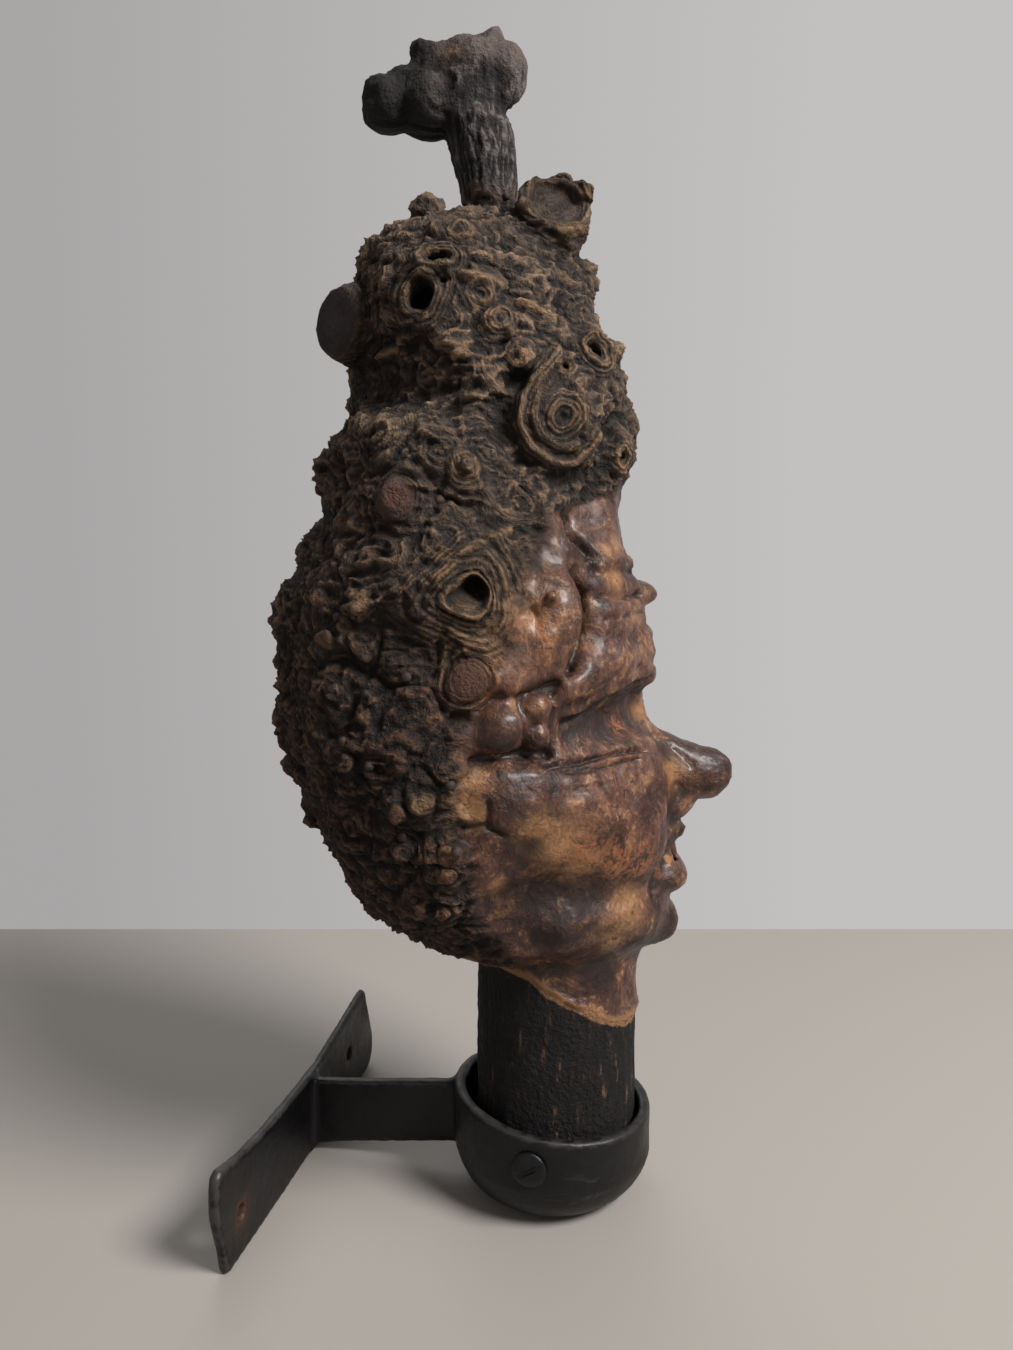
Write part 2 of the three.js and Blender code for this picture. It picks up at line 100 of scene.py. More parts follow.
# %% Pale floor and wall
FLOOR_BACK = 0.213
FLOOR_FRONT = -1.5
FLOOR_SIDE = 1.6
FLOOR_COLOUR = (0.335, 0.31, 0.28, 1)
WALL_BACK = 1.3
WALL_SIDE = 2.4
WALL_FOOT = -1
WALL_TOP = 2.2
WALL_COLOUR = (0.525, 0.51, 0.508, 1)
ROOM_COLOUR = (0.47, 0.455, 0.455, 1)
ROOM_LIGHT = 0.4


def flat_sheet(name, corners, colour, roughness):
    mesh = bpy.data.meshes.new(name)
    mesh.from_pydata(corners, [], [(0, 1, 2, 3)])
    sheet = bpy.data.objects.new(name, mesh)
    bpy.context.scene.collection.objects.link(sheet)
    material = bpy.data.materials.new(name)
    material.use_nodes = True
    mesh.materials.append(material)
    shader = material.node_tree.nodes["Principled BSDF"]
    shader.inputs["Base Color"].default_value = colour
    shader.inputs["Roughness"].default_value = roughness
    return material.node_tree, shader


flat_sheet("pale floor", [
    (-FLOOR_SIDE, FLOOR_FRONT, 0), (FLOOR_SIDE, FLOOR_FRONT, 0),
    (FLOOR_SIDE, FLOOR_BACK, 0), (-FLOOR_SIDE, FLOOR_BACK, 0),
], FLOOR_COLOUR, 0.6)
wall_tree, wall_shader = flat_sheet("pale wall", [
    (-WALL_SIDE, WALL_BACK, WALL_FOOT), (WALL_SIDE, WALL_BACK, WALL_FOOT),
    (WALL_SIDE, WALL_BACK, WALL_TOP), (-WALL_SIDE, WALL_BACK, WALL_TOP),
], (0.02, 0.02, 0.02, 1), 1.0)

# the wall glows evenly, a little less on the left
wall_place = wall_tree.nodes.new("ShaderNodeTexCoord")
wall_across = wall_tree.nodes.new("ShaderNodeSeparateXYZ")
wall_light = wall_tree.nodes.new("ShaderNodeMapRange")
for name, value in {"From Min": -0.7, "From Max": 0.5, "To Min": 0.72, "To Max": 1.0}.items():
    wall_light.inputs[name].default_value = value
wall_tree.links.new(wall_place.outputs["Object"], wall_across.inputs[0])
wall_tree.links.new(wall_across.outputs["X"], wall_light.inputs["Value"])
wall_tree.links.new(wall_light.outputs["Result"], wall_shader.inputs["Emission Strength"])
wall_shader.inputs["Emission Color"].default_value = WALL_COLOUR

world = bpy.data.worlds.new("soft room")
world.use_nodes = True
world.node_tree.nodes["Background"].inputs["Color"].default_value = ROOM_COLOUR
world.node_tree.nodes["Background"].inputs["Strength"].default_value = ROOM_LIGHT
bpy.context.scene.world = world
bpy.context.scene.view_settings.view_transform = "Standard"
print("stage ready, wall", WALL_BACK, "m behind")

# %% [markdown]
# ## Growing a solid on a grid
# Wood has no edges to extrude: lumps run into each other. So each piece is a field of numbers on
# a fine grid, negative inside the solid and positive outside. Shapes are added with a soft blend,
# which leaves the natural crease between two lumps, and OpenVDB, which comes with Blender, turns
# the zero level into a closed mesh.

# %% The grid
FAR_AWAY = 20.0  # a value that means well outside the solid


def soft_add(a, b, blend):
    near = np.maximum(blend - np.abs(a - b), 0) / blend
    return np.minimum(a, b) - near * near * blend * 0.25


def soft_cut(a, b, blend):
    return -soft_add(-a, b, blend)


class Growth:
    """A solid as signed values on a grid, in millimetres."""

    def __init__(self, low, high, spacing):
        self.low = np.array(low, float)
        self.spacing = spacing
        self.count = np.ceil((np.array(high) - self.low) / spacing).astype(int) + 1
        self.values = np.full(self.count, FAR_AWAY, np.float32)

    def lines(self, first, last):
        """The grid's places along x, y and z, between two corners of the grid."""
        lines = [
            self.low[k] + self.spacing * np.arange(first[k], last[k], dtype=np.float32)
            for k in range(3)
        ]
        return np.meshgrid(*lines, indexing="ij", sparse=True)

    def window(self, centre, reach):
        """The part of the grid round a centre, and its places."""
        first = np.floor((np.array(centre) - reach - self.low) / self.spacing).astype(int)
        last = np.ceil((np.array(centre) + reach - self.low) / self.spacing).astype(int) + 1
        first = np.clip(first, 0, self.count)
        last = np.clip(last, 0, self.count)
        return tuple(slice(a, b) for a, b in zip(first, last)), self.lines(first, last)

    def everywhere(self):
        return self.lines((0, 0, 0), self.count)

    def add(self, distance, centre, reach, blend):
        place, (x, y, z) = self.window(centre, reach + blend + 2)
        self.values[place] = soft_add(self.values[place], distance(x, y, z), blend)

    def cut(self, distance, centre, reach, blend):
        place, (x, y, z) = self.window(centre, reach + blend + 2)
        self.values[place] = soft_cut(self.values[place], distance(x, y, z), blend)

    def swell(self, rise, centre, reach):
        place, (x, y, z) = self.window(centre, reach)
        self.values[place] -= rise(x, y, z)

    def skin(self, across, height, far=False):
        """The first surface point met at a place across and up, coming from the near or far side."""
        column_x = int(round((across - self.low[0]) / self.spacing))
        column_z = int(round((height - self.low[2]) / self.spacing))
        line = self.values[column_x, :, column_z]
        inside = np.nonzero(line < 0)[0]
        if not len(inside):
            return outline_skin(across, height, far)
        step = inside[-1] if far else inside[0]
        beyond = step + 1 if far else step - 1
        share = line[step] / (line[step] - line[beyond])
        row = step + share * (beyond - step)
        return np.array([across, self.low[1] + row * self.spacing, height])

    def outward(self, point):
        """The direction straight out of the skin at a point."""
        index = np.clip(np.round((point - self.low) / self.spacing).astype(int), 2, self.count - 3)
        i, j, k = index
        v = self.values
        slope = np.array([
            v[i + 2, j, k] - v[i - 2, j, k],
            v[i, j + 2, k] - v[i, j - 2, k],
            v[i, j, k + 2] - v[i, j, k - 2],
        ])
        return slope / (np.linalg.norm(slope) + 1e-9)

    def faces(self):
        """Vertices in millimetres and four-sided faces of the zero level."""
        grid = openvdb.FloatGrid(FAR_AWAY)
        grid.copyFromArray(self.values)
        points, quads = grid.convertToQuads(0.0)
        points = np.array(points, float) * self.spacing + self.low
        quads = np.array(quads)
        return points, quads


print("growth ready")

# %% Simple shapes for the grid
def bell(distance, radius):
    """1 at no distance, falling smoothly to nothing a few radii away."""
    return np.exp(-((distance / radius) ** 2))


def line_measure(start, end):
    """A function that gives, at each place, how far along and how far from a line it lies."""
    start = np.array(start, float)
    axis = np.array(end, float) - start
    length2 = max(float(axis @ axis), 1e-6)

    def measure(x, y, z):
        dx, dy, dz = x - start[0], y - start[1], z - start[2]
        along = np.clip((dx * axis[0] + dy * axis[1] + dz * axis[2]) / length2, 0, 1)
        dx = dx - along * axis[0]
        dy = dy - along * axis[1]
        dz = dz - along * axis[2]
        return along, np.sqrt(dx * dx + dy * dy + dz * dz)

    return measure


def limb_distance(start, end, start_radius, end_radius):
    """A tapering limb with round ends."""
    measure = line_measure(start, end)

    def distance(x, y, z):
        along, away = measure(x, y, z)
        return away - (start_radius + (end_radius - start_radius) * along)

    return distance


def lobe_distance(centre, radii):
    """An egg-shaped lump."""
    def distance(x, y, z):
        u = (x - centre[0]) / radii[0]
        v = (y - centre[1]) / radii[1]
        w = (z - centre[2]) / radii[2]
        size = np.sqrt(u * u + v * v + w * w) + 1e-6
        slope = np.sqrt((u / radii[0]) ** 2 + (v / radii[1]) ** 2 + (w / radii[2]) ** 2) + 1e-6
        return size * (size - 1) / slope

    return distance


def stub_distance(foot, end, foot_radius, end_radius):
    """A sawn branch: a tapering post with a flat end."""
    foot = np.array(foot, float)
    length = np.linalg.norm(np.array(end, float) - foot)
    out = (np.array(end, float) - foot) / length

    def distance(x, y, z):
        dx, dy, dz = x - foot[0], y - foot[1], z - foot[2]
        along = dx * out[0] + dy * out[1] + dz * out[2]
        aside = np.sqrt(np.maximum(dx * dx + dy * dy + dz * dz - along * along, 0))
        side = aside - foot_radius - (end_radius - foot_radius) * np.clip(along / length, 0, 1)
        return -soft_add(-side, -np.maximum(along - length, -along), 1.2)

    return distance


def ridge_rise(start, end, radius, rise):
    """How much the skin rises near a line."""
    measure = line_measure(start, end)

    def amount(x, y, z):
        return rise * bell(measure(x, y, z)[1], radius)

    return amount


print("shapes ready")

# %% [markdown]
# ## The head's outline
# The outline is the one the frame was built on: at each height, how far the head reaches back,
# to the face, and to each side. Between the stations it is smoothed, so no station shows.

# %% Outline
OUTLINE = np.array([
    (77, -27, 24, 20), (81, -40, 30, 28), (87, -51, 33, 36), (95, -59, 34, 42), (107, -67, 33, 48),
    (120, -72, 33, 52), (134, -77, 31, 55), (148, -79, 26, 56), (162, -80, 25, 56),
    (184, -79, 24, 54), (198, -74, 19, 50), (209, -69, 17, 46), (218, -67, 18.5, 45.5),
    (226, -67, 21.5, 45), (236, -65, 22.5, 43.5), (248, -63, 20.5, 41), (256, -61, 16.5, 39.5),
    (264, -60, 10.5, 38), (274, -59, 8, 36), (283, -57, 4, 31), (288.5, -50, -1, 25),
    (293, -35, -8, 13),
], float)
FACE_TAPER = 0.18
HEAD_BOTTOM = OUTLINE[0, 0]
HEAD_TOP = OUTLINE[-1, 0]
SMOOTH_OVER = 5  # millimetres of height that each station is averaged over
fine_heights = np.arange(HEAD_BOTTOM, HEAD_TOP + 0.5, 1.0)
kernel = np.ones(SMOOTH_OVER) / SMOOTH_OVER
fine_outline = []
for column in (1, 2, 3):
    line = np.interp(fine_heights, OUTLINE[:, 0], OUTLINE[:, column])
    fine_outline.append(np.convolve(np.pad(line, SMOOTH_OVER // 2, mode="edge"), kernel, mode="valid"))


def section(height):
    back, face, side = (np.interp(height, fine_heights, line) for line in fine_outline)
    return (back + face) / 2, (face - back) / 2, side


def outline_skin(across, height, far=False):
    """The plain outline's surface point at a place across and up."""
    middle, reach, side = section(height)
    forward = np.clip((across - middle) / reach, -0.97, 0.97)
    y = side * (1 - FACE_TAPER * forward) * math.sqrt(1 - forward * forward)
    return np.array([across, y if far else -y, height])


def outline_distance(x, y, z):
    middle, reach, side = section(z)
    forward = (x - middle) / reach
    wide = side * (1 - FACE_TAPER * np.clip(forward, -1, 1))
    ratio = np.sqrt(forward**2 + (y / wide) ** 2)
    radius = np.sqrt((x - middle) ** 2 + y * y)
    value = radius * (1 - 1 / np.maximum(ratio, 0.08))
    value = -soft_add(-value, -(z - HEAD_TOP), 5)
    return -soft_add(-value, -(HEAD_BOTTOM - z), 4)


print("outline from", HEAD_BOTTOM, "to", HEAD_TOP, "mm")

# %% [markdown]
# ## Lumps, folds, knots and hollows
# The lists name each larger feature with its place across and up, in millimetres, as it is seen
# from the side that shows. The code finds the depth by itself, where the skin is.

# %% Swellings and folds of the skin
SWELLS = [  # start, end, radius, rise
    ((-1, 232), None, 12, 5.5), ((9, 252), None, 8, 4), ((17, 226), None, 6, 3),
    ((2, 272), None, 8, 2), ((-44, 272), None, 7, 3), ((-22, 272), (-12, 268), 6, 2.5),
    ((-30, 248), (-18, 240), 7, 3), ((-52, 230), (-38, 227), 7, 3), ((-38, 263), None, 10, 5),
    ((-33, 275), None, 8, 3), ((-14, 256), None, 8, 3), ((-12, 247), None, 4, 2),
    ((-26, 218), (-45, 214), 10, 4), ((-66, 222), None, 9, 4), ((-73, 200), None, 8, 4),
    ((-81, 180), None, 9, 5), ((-81, 158), None, 11, 3), ((-80, 138), None, 10, 4),
    ((-74, 120), None, 4.5, 7), ((-4, 299.5), None, 6, 2), ((-85.5, 190), None, 6, 2.5),
    ((-85, 177), None, 6, 2), ((-84, 153), None, 6, 2), ((-79, 203), None, 6, 2),
    ((-70, 219), None, 7, 2.5), ((-62, 97), None, 9, 4), ((-27, 188), None, 17, 5),
    ((-50, 186), (-40, 190), 9, 3), ((27, 134), None, 14, 4), ((-31, 119), None, 9, 3),
    ((-43, 133), None, 9, 3), ((-40, 104), None, 9, 3), ((-62, 150), None, 10, 3),
    ((-60, 122), None, 10, 3), ((18, 113), None, 12, 3), ((2, 96), (24, 90), 11, 4),
    ((-14, 135), (4, 130), 9, 4), ((6, 128), (24, 124), 8, 3),
    # the cheek's edge and the hollow under it
    ((-6, 121), (25, 113), 6, 2.5), ((-12, 104), (20, 104), 5, -2.8), ((-13, 131), None, 8, 2),
    # folds of the bark
    ((-44, 247), (-64, 240), 9, -9), ((-35, 240), (-50, 241), 7, -5), ((-18, 226), (6, 214), 8, -3),
    ((-34, 172), (-52, 166), 9, -4), ((-13, 241), (-16, 231), 5, -5), ((13, 231), None, 4, -5),
    ((-12.5, 242.4), None, 3, -2.5),
    # forehead
    ((12, 208), (13, 199), 6.5, 2.5), ((-5, 205), (-1, 196), 4, 2),
    ((0.5, 207), (4, 198), 2.4, -2.5),
    # the hanging lobe, and the deep valley in front of it
    ((-2.3, 186.7), (-3, 180.2), 6.5, 5.5), ((-3, 180.2), (-6.4, 173), 6.5, 5),
    ((-6.4, 173), (-15.5, 165.5), 5.5, 4), ((1, 192.5), (5, 186), 2.6, -3),
    ((5, 186), (5, 176), 2.8, -4), ((5, 176), (0.5, 167), 2.8, -4),
    ((0.5, 167), (-4, 162.6), 2.6, -2), ((-4, 162.6), (-18, 161.4), 2.4, -2),
    # folds of the brow
    ((9, 194.5), (21, 195.5), 3.2, 2.6), ((8, 188.6), (23, 189.6), 3.2, 2.4),
    ((12, 182.4), (22, 183.5), 3.4, 2.4), ((11, 176), (24, 178), 3.4, 1.6),
    ((7, 192), (22, 192.4), 1.6, -1.6), ((9, 185.5), (24, 185.8), 1.8, -1.6),
    # cheekbone and the deep hollow under it
    ((0, 163), (13.9, 168), 5, 5), ((13.9, 168), (26, 169.5), 4.5, 5),
    ((3, 151.5), (23, 153), 6, -8),
    # three round lumps under the ringed stub are set off by hollows
    ((-24.5, 145), (-5, 145.5), 3, -3), ((-27, 157), (-20, 161), 2.6, -2.5),
    # cheek, mouth and jaw
    ((-16.2, 132.4), (-9, 137.4), 2.8, 2.2), ((-11.5, 128.5), (-2, 127.5), 3, 1.6),
    ((-2.2, 127.5), (13.6, 125.7), 3.4, 2.6), ((13.6, 125.7), (28, 115), 3.6, 2.4),
    ((4.8, 121.8), (15.2, 121.2), 2.6, -2.4), ((-11, 123.5), None, 2.6, -1.5),
    ((-18, 104), (-4, 107.5), 4.5, -4), ((-12.2, 97), (-7, 92), 4, -2.5),
    ((-11, 112), (8, 106), 8, -2), ((18, 97), (30, 92), 3, 1.8), ((27, 107), (26, 99), 3, -2.4),
    ((10, 94), (22, 84), 3.6, -2), ((-5, 84), (4, 74), 3.4, -2),
    ((25.9, 147.2), (38, 136), 2.6, -1.8), ((36, 108), None, 6, -5),
]
print(len(SWELLS), "swellings and folds")

# %% Nose, lips, chin, brows and top knobs
NOSE = ((15, -2, 135), (45, -3, 132), 14.5, 7.6)
LOBES = [  # centre, radii
    ((33, -3, 123), (8, 9, 5)), ((29, -2, 115), (8, 12, 5.5)), ((36.5, -3, 114.6), (2.8, 2.8, 2.8)),
    ((30.8, -3, 107.5), (5.5, 8, 5)), ((31, -3, 101), (8.5, 11, 6)), ((27, -2, 87), (10, 13, 8)),
    ((21.5, -2, 186), (8, 9, 4.2)), ((18, -2, 174), (10, 17, 4.5)), ((17, -2, 163), (12, 19, 6)),
    ((-38, -3, 294), (5, 5, 7)), ((0, -6, 296.5), (6, 9, 6.4)), ((6.5, -3, 277), (4, 6, 5)),
    ((6.2, -12, 298), (2.8, 3, 2.8)),
]
STEM = ((-18.8, 0, 290), (-22.5, 0, 314), 7.9, 8.4)
STEM_TOP = ((-22.5, 0, 312), (-26.5, 0, 330), 8.0, 11.0)
CAP_LOBES = [
    ((-24.5, 2, 335), (12, 13.5, 9)), ((-49.8, -2, 324.6), (7.6, 10, 7)),
    ((-38, 0, 326), (10, 12, 9)), ((-45, 0, 330), (6.5, 8, 6)),
    ((-40.2, -3, 338.2), (3.7, 4.2, 4.6)), ((-34.5, 0, 334.5), (6.5, 9, 6.5)),
    ((-15.4, -1, 333), (5.8, 8, 8.8)), ((-19.5, -2, 343), (3.4, 3.4, 2.8)),
]
NECK_RADIUS = 24.5
NECK_BOTTOM = 8.0
NECK_TOP = 92
print(len(LOBES), "lobes on the head and", len(CAP_LOBES), "in the cap")

# %% Sawn stubs and hollows
# name, foot inside the wood, middle of the cut face, radius at the foot and the cut, bark rim
STUBS = [
    ("sawn branch", (-45.7, -4, 259), (-62.3, -22.3, 260), 12.5, 9.2, 0.4),
    ("crown stub", (-8, 4, 279), (-2.2, -16.5, 292.6), 13.5, 9.8, 2.4),
    ("ringed stub", (-26, -45, 165), (-25.3, -57.5, 165.5), 8, 4.2, 0),
    ("small stub", (-43, -40, 210), (-43.6, -51, 211), 6, 4.2, 0),
]
COLLAR = ((-47, -6, 257.5), (-58.5, -14, 258), 10, 8.6)
# name, across, height, half its length, tilt, radius at the mouth, depth, reach of its rings
OPENINGS = [
    ("big hollow", -37.8, 262.2, 1.4, 65, 3.3, 10, 8),
    ("crown hollow", -33.4, 271.8, 1.9, 5, 1.5, 6, 6),
    ("ring hollow", 8.4, 251.6, 0.8, -35, 2.3, 4, 6), ("pin hole", -0.2, 245.7, 0, 0, 1.1, 4, 2.5),
    ("rope heart", -0.8, 232.4, 0.6, 60, 2.4, 0.8, 6), ("small pit", -31.5, 266, 0, 0, 1.2, 3, 3),
    ("left pit", -50, 268, 0.8, 60, 1.6, 4, 3), ("knob pit", 16.5, 224, 0, 0, 1.0, 2, 4),
]
EYE = (-25, 187)
EYE_SIDES = [  # each side's outward direction, across and up, and its distance
    (-0.68, 0.73, 3.1), (0.80, 0.60, 4.8), (0.93, -0.36, 4.7), (-0.45, -0.89, 4.7),
]
EYE_OUT = np.array([-0.12, -0.98, 0.12])
EYE_DEPTH = 12
EYE_FLOOR_SLOPE = 0.75
print(len(STUBS), "sawn stubs and", len(OPENINGS) + 1, "hollows")

# %% Knots that the bark flows round
KNOTS = [  # across, height, radius
    (-25, 187, 5.5), (-25, 165, 6), (-43, 211, 4.4), (-25.5, 219, 3), (-33.4, 271.8, 2.8),
    (-38, 262.4, 4), (-27.5, 280, 3), (-22.3, 263, 2.5), (-17.2, 256.6, 2.5), (-30.7, 256.8, 2.5),
    (9.1, 252, 4), (-1, 232.5, 4), (7.4, 261, 3), (17, 224, 3.5), (13, 243.7, 3),
    (-11.6, 246.5, 2.3), (-61, 266, 8), (-2, 292, 9), (-32, 222, 3), (-20, 223, 3), (-7, 216, 3),
    (10, 217.5, 3), (-12, 211, 3), (-65, 185, 2), (-52, 182.5, 1.8), (-47, 185.5, 1.8),
    (-50, 197, 2), (-59, 206, 2.5), (-37, 135.6, 3.5), (-43, 132.6, 3), (-42, 121.6, 3.4),
    (-30, 122, 3), (-31, 115, 3), (-33, 104.5, 3), (-38, 105.6, 3), (-59.5, 162, 3),
    (-56, 144.5, 3), (-61, 175, 3), (-50, 160.5, 3), (-48, 143, 3), (-57, 127, 3), (-46, 117, 3),
    (-27, 135.5, 3), (-30, 146, 3), (-40, 156, 3), (-42, 171, 3), (-52, 173, 3), (-68, 214, 3),
    (-64, 232, 3), (-48, 228, 3), (-30, 202, 3), (-60, 284, 3), (-45, 284, 3), (-8, 268, 3),
    (5, 240, 2),
]
NUBS = [  # round buds standing on the skin: across, height, radius
    (-11.6, 246.5, 2.6), (-65, 185, 1.9), (-52, 182.5, 1.8), (-47, 185.5, 1.8), (-43, 188, 1.7),
    (-41, 188.5, 1.4), (-50, 197, 2), (-59, 206, 2.2), (-25.5, 219, 2.2), (-37, 135.6, 3.2),
    (-43, 132.6, 2.6), (-42, 121.6, 3), (-30, 122, 2.6), (-31, 116, 2.2), (-33, 104.5, 2.6),
    (-38, 105.6, 2.4), (-59.5, 162, 2.6), (-56, 144.5, 2.6), (-61, 175, 2.4), (-50, 160.5, 2.6),
    (-4.4, 185.8, 1.5), (-6.8, 151, 1.6),
]
ROUND_LUMPS = [  # across, height, radius, how far it stands out
    (-16.8, 153.4, 6.6, 4.6), (-8, 158.2, 3.9, 3.4), (-7.3, 150.2, 3.2, 2.6), (-47, 268, 3.4, 2.4),
    (15.5, 255, 5, 3.4),
]
ROPE = [  # the rope-like roll round the large knot
    (-3, 250), (-7, 244), (-11, 237), (-11.8, 230), (-9.5, 225), (-4, 221.8), (1.5, 221.4),
    (6, 223.8), (8.4, 228.5),
]
ROPE_RADIUS = 1.7
ROPE_RISE = 2.6
ROPE_INNER = [(-3.4, 246), (-7, 240), (-8.6, 233), (-7, 227.6), (-2.5, 224.6), (2.5, 225)]
LIPS = [  # raised round lips: across, height, radius of the lip, thickness, rise
    (-0.6, 233, 5.2, 1.2, 0.8), (-25.3, 166, 7.2, 1.0, 0.8), (-25.5, 219, 4.4, 1.2, 0.8),
    (9, 252, 5.2, 1.3, 1.2), (-2.4, 292, 8.6, 1.5, 1.4), (-27.5, 280, 3, 1.1, 0.8),
    (-22.3, 263, 3, 1.1, 0.7), (-17, 256.6, 3.2, 1.1, 0.7), (16.5, 224, 3.2, 1.1, 1.2),
]
BROW_RIDGE = [(-33, 191), (-25, 198), (-15, 203)]
CRESTS = [  # pale crests of the bark
    [(-50, 250), (-44, 252)], [(-27, 268), (-20, 267)],
    [(-12, 262), (-4, 258)], [(-30, 246), (-24, 250)],
]
FACE_LINES = [  # line, half width, rise
    ([(0.3, 206.7), (0.3, 203.2), (5, 198.4), (9.4, 195.8)], 1.2, -1.8),
    ([(-1.4, 203), (-0.4, 197)], 0.8, 1.0), ([(-0.3, 193.1), (1.6, 195.3), (7.8, 194.9)], 0.7, 1.0),
    ([(2, 197), (6, 196.4)], 1.0, -1.2),
    ([(1, 191.5), (4.4, 187), (4.8, 182), (4.4, 177), (3.4, 173), (1, 167.5)], 1.0, -1.8),
    ([(1, 167.5), (-3, 163.6), (-9.5, 161.8), (-17, 161.6)], 0.9, -0.9),
    ([(-6.6, 191.4), (-2.2, 190.3), (1.2, 187.3), (2.2, 183), (2, 177), (0.8, 173)], 1.3, 0.9),
    ([(9, 192.2), (15.2, 192.8), (21, 192.4)], 0.8, -1.2),
    ([(10, 186.2), (17, 185.4), (23, 186)], 0.9, -1.2),
    ([(11, 179.6), (18, 180.4), (25, 181)], 0.9, -1.1), ([(14, 197.6), (20, 198)], 0.8, -0.8),
    ([(-4.4, 186.4), (-4.3, 186.3)], 1.2, 1.2), ([(-11, 187), (-8, 182)], 0.9, -1.0),
    ([(-9, 183), (-7.4, 178)], 1.0, -0.7),
    ([(-0.9, 155.4), (4.8, 156.9), (9.2, 159.7), (17.2, 162.6), (26.3, 164.7)], 1.2, 1.3),
    ([(-0.9, 152.8), (4.8, 154.4), (9.2, 157), (17.2, 160), (26.3, 162)], 1.0, -1.2),
    ([(6, 161), (14, 164), (22, 166.5)], 0.5, -0.5),
    ([(-12.4, 160.7), (-11.0, 154), (-11.4, 147.2)], 0.9, -1.0),
    ([(-4, 161), (-3.6, 155.6), (-4.6, 145.6)], 1.0, -1.2),
    ([(-24.5, 145.4), (-14, 146), (-5, 145.4)], 1.1, -1.5),
    ([(-5, 142.9), (1.9, 142.7), (12.2, 143.2), (24.2, 142.4)], 0.8, -1.9),
    ([(-0.9, 141), (9.1, 140.2), (21.1, 140.6)], 0.6, -1.2),
    ([(-3, 141.9), (10, 141.7), (22, 141.6)], 0.5, 0.6), ([(1.9, 136.4), (10.5, 136.2)], 0.6, -0.9),
    ([(3, 138.5), (14, 138.2)], 0.5, -0.7),
    ([(-20.3, 135), (-20.4, 128.2), (-16.2, 125.9)], 0.7, -1.9),
    ([(-26.4, 128), (-21.5, 128.8)], 0.7, -1.4), ([(33, 140.8), (38.8, 135.5)], 1.2, -0.8),
    ([(34.4, 130), (36, 129)], 1.6, -1.0),
]
print(len(KNOTS), "knots,", len(NUBS), "nubs,", len(LIPS), "lips,", len(FACE_LINES), "face lines")

# %% [markdown]
# ## Growing the wood
# The wood grows in the order nature and the saw gave it: the swollen head first, then its lumps,
# nose, neck, stem and cap, then the sawn stubs and small nubs. The hollows are cut last, so
# that no later lump fills them again.

# %% Grow
SPACING = 1.3
wood = Growth((-96, -72, 2), (66, 72, 352), SPACING)
x, y, z = wood.everywhere()
wood.values = np.clip(outline_distance(x, y, z), -30, 30).astype(np.float32)


def swell_between(start, end, radius, rise):
    a = outline_skin(*start)
    b = outline_skin(*(end or start))
    middle = (a + b) / 2
    reach = np.linalg.norm(b - a) / 2 + 2.4 * radius
    wood.swell(ridge_rise(a, b, radius, rise), middle, reach)


for start, end, radius, rise in SWELLS:
    swell_between(start, end, radius, rise)
wood.add(limb_distance(*NOSE), NOSE[0], 50, 4)
for centre, radii in LOBES:
    wood.add(lobe_distance(centre, radii), centre, max(radii), 2)
neck_limb = limb_distance((0, 0, NECK_BOTTOM), (0, 0, NECK_TOP), NECK_RADIUS, NECK_RADIUS)
wood.add(neck_limb, (0, 0, 50), 75, 6)
wood.add(limb_distance(*STEM), STEM[0], 60, 5)
wood.add(limb_distance(*STEM_TOP), STEM_TOP[0], 40, 3)
for centre, radii in CAP_LOBES:
    wood.add(lobe_distance(centre, radii), centre, max(radii), 2)
wood.values = np.maximum(wood.values, NECK_BOTTOM - z)
wood.add(limb_distance(*COLLAR), COLLAR[0], 35, 3)
cuts = []
for name, foot, end, foot_radius, end_radius, rim in STUBS:
    foot = np.array(foot, float)
    end = np.array(end, float)
    out = (end - foot) / np.linalg.norm(end - foot)
    reach = np.linalg.norm(end - foot) + foot_radius
    wood.add(stub_distance(foot, end, foot_radius, end_radius), foot, reach, 2.5)
    face_radius = end_radius - rim
    cuts.append((end, out, face_radius))
    if rim > 1:
        # the bark stands a little above the sawn face
        sunk = stub_distance(end - out * 0.9, end + out * 5, face_radius, face_radius)
        wood.cut(sunk, end, 16, 0.6)
for across, height, radius in NUBS:
    base = wood.skin(across, height)
    out = wood.outward(base)
    nub = limb_distance(base - out * radius, base + out * radius * 0.25, radius, radius * 0.85)
    wood.add(nub, base, radius * 3, 1.0)
print("grid of", wood.count, "values, sawn faces:", len(cuts))


# %% Hollows
RING_OFFSET = -1.2  # the middle of the iron ring, behind the neck's axis
SCREW_HEIGHT = 21
SCREW_TURN = math.radians(255)
SCREW_OUT = np.array([math.cos(SCREW_TURN), math.sin(SCREW_TURN), 0])
LIP_HOLE = np.array([34.5, -5, 106.5])
LIP_HOLE_WAY = np.array([1, -2.5, 4])


def eye_outline(dx, dz, blend, rise=0.0):
    """How far outside the cornered opening a place lies, seen from the front."""
    value = None
    for across, up, distance in EYE_SIDES:
        side = across * dx + up * (dz - (rise if up < -0.5 else 0)) - distance
        value = side if value is None else -soft_add(-value, -side, blend)
    return value


def eye_distance(centre, out):
    """The opening goes straight in, with a floor that climbs."""
    def distance(x, y, z):
        dx, dy, dz = x - centre[0], y - centre[1], z - centre[2]
        inward = -(dx * out[0] + dy * out[1] + dz * out[2])
        side = eye_outline(dx, dz, 1.6, EYE_FLOOR_SLOPE * np.clip(inward, 0, EYE_DEPTH))
        return np.maximum(side + 0.08 * np.clip(inward, -4, EYE_DEPTH), inward - EYE_DEPTH)

    return distance


def slit_ends(across, height, half, tilt):
    turn = math.radians(tilt)
    dx = math.cos(turn) * half
    dz = math.sin(turn) * half
    return wood.skin(across - dx, height - dz), wood.skin(across + dx, height + dz)


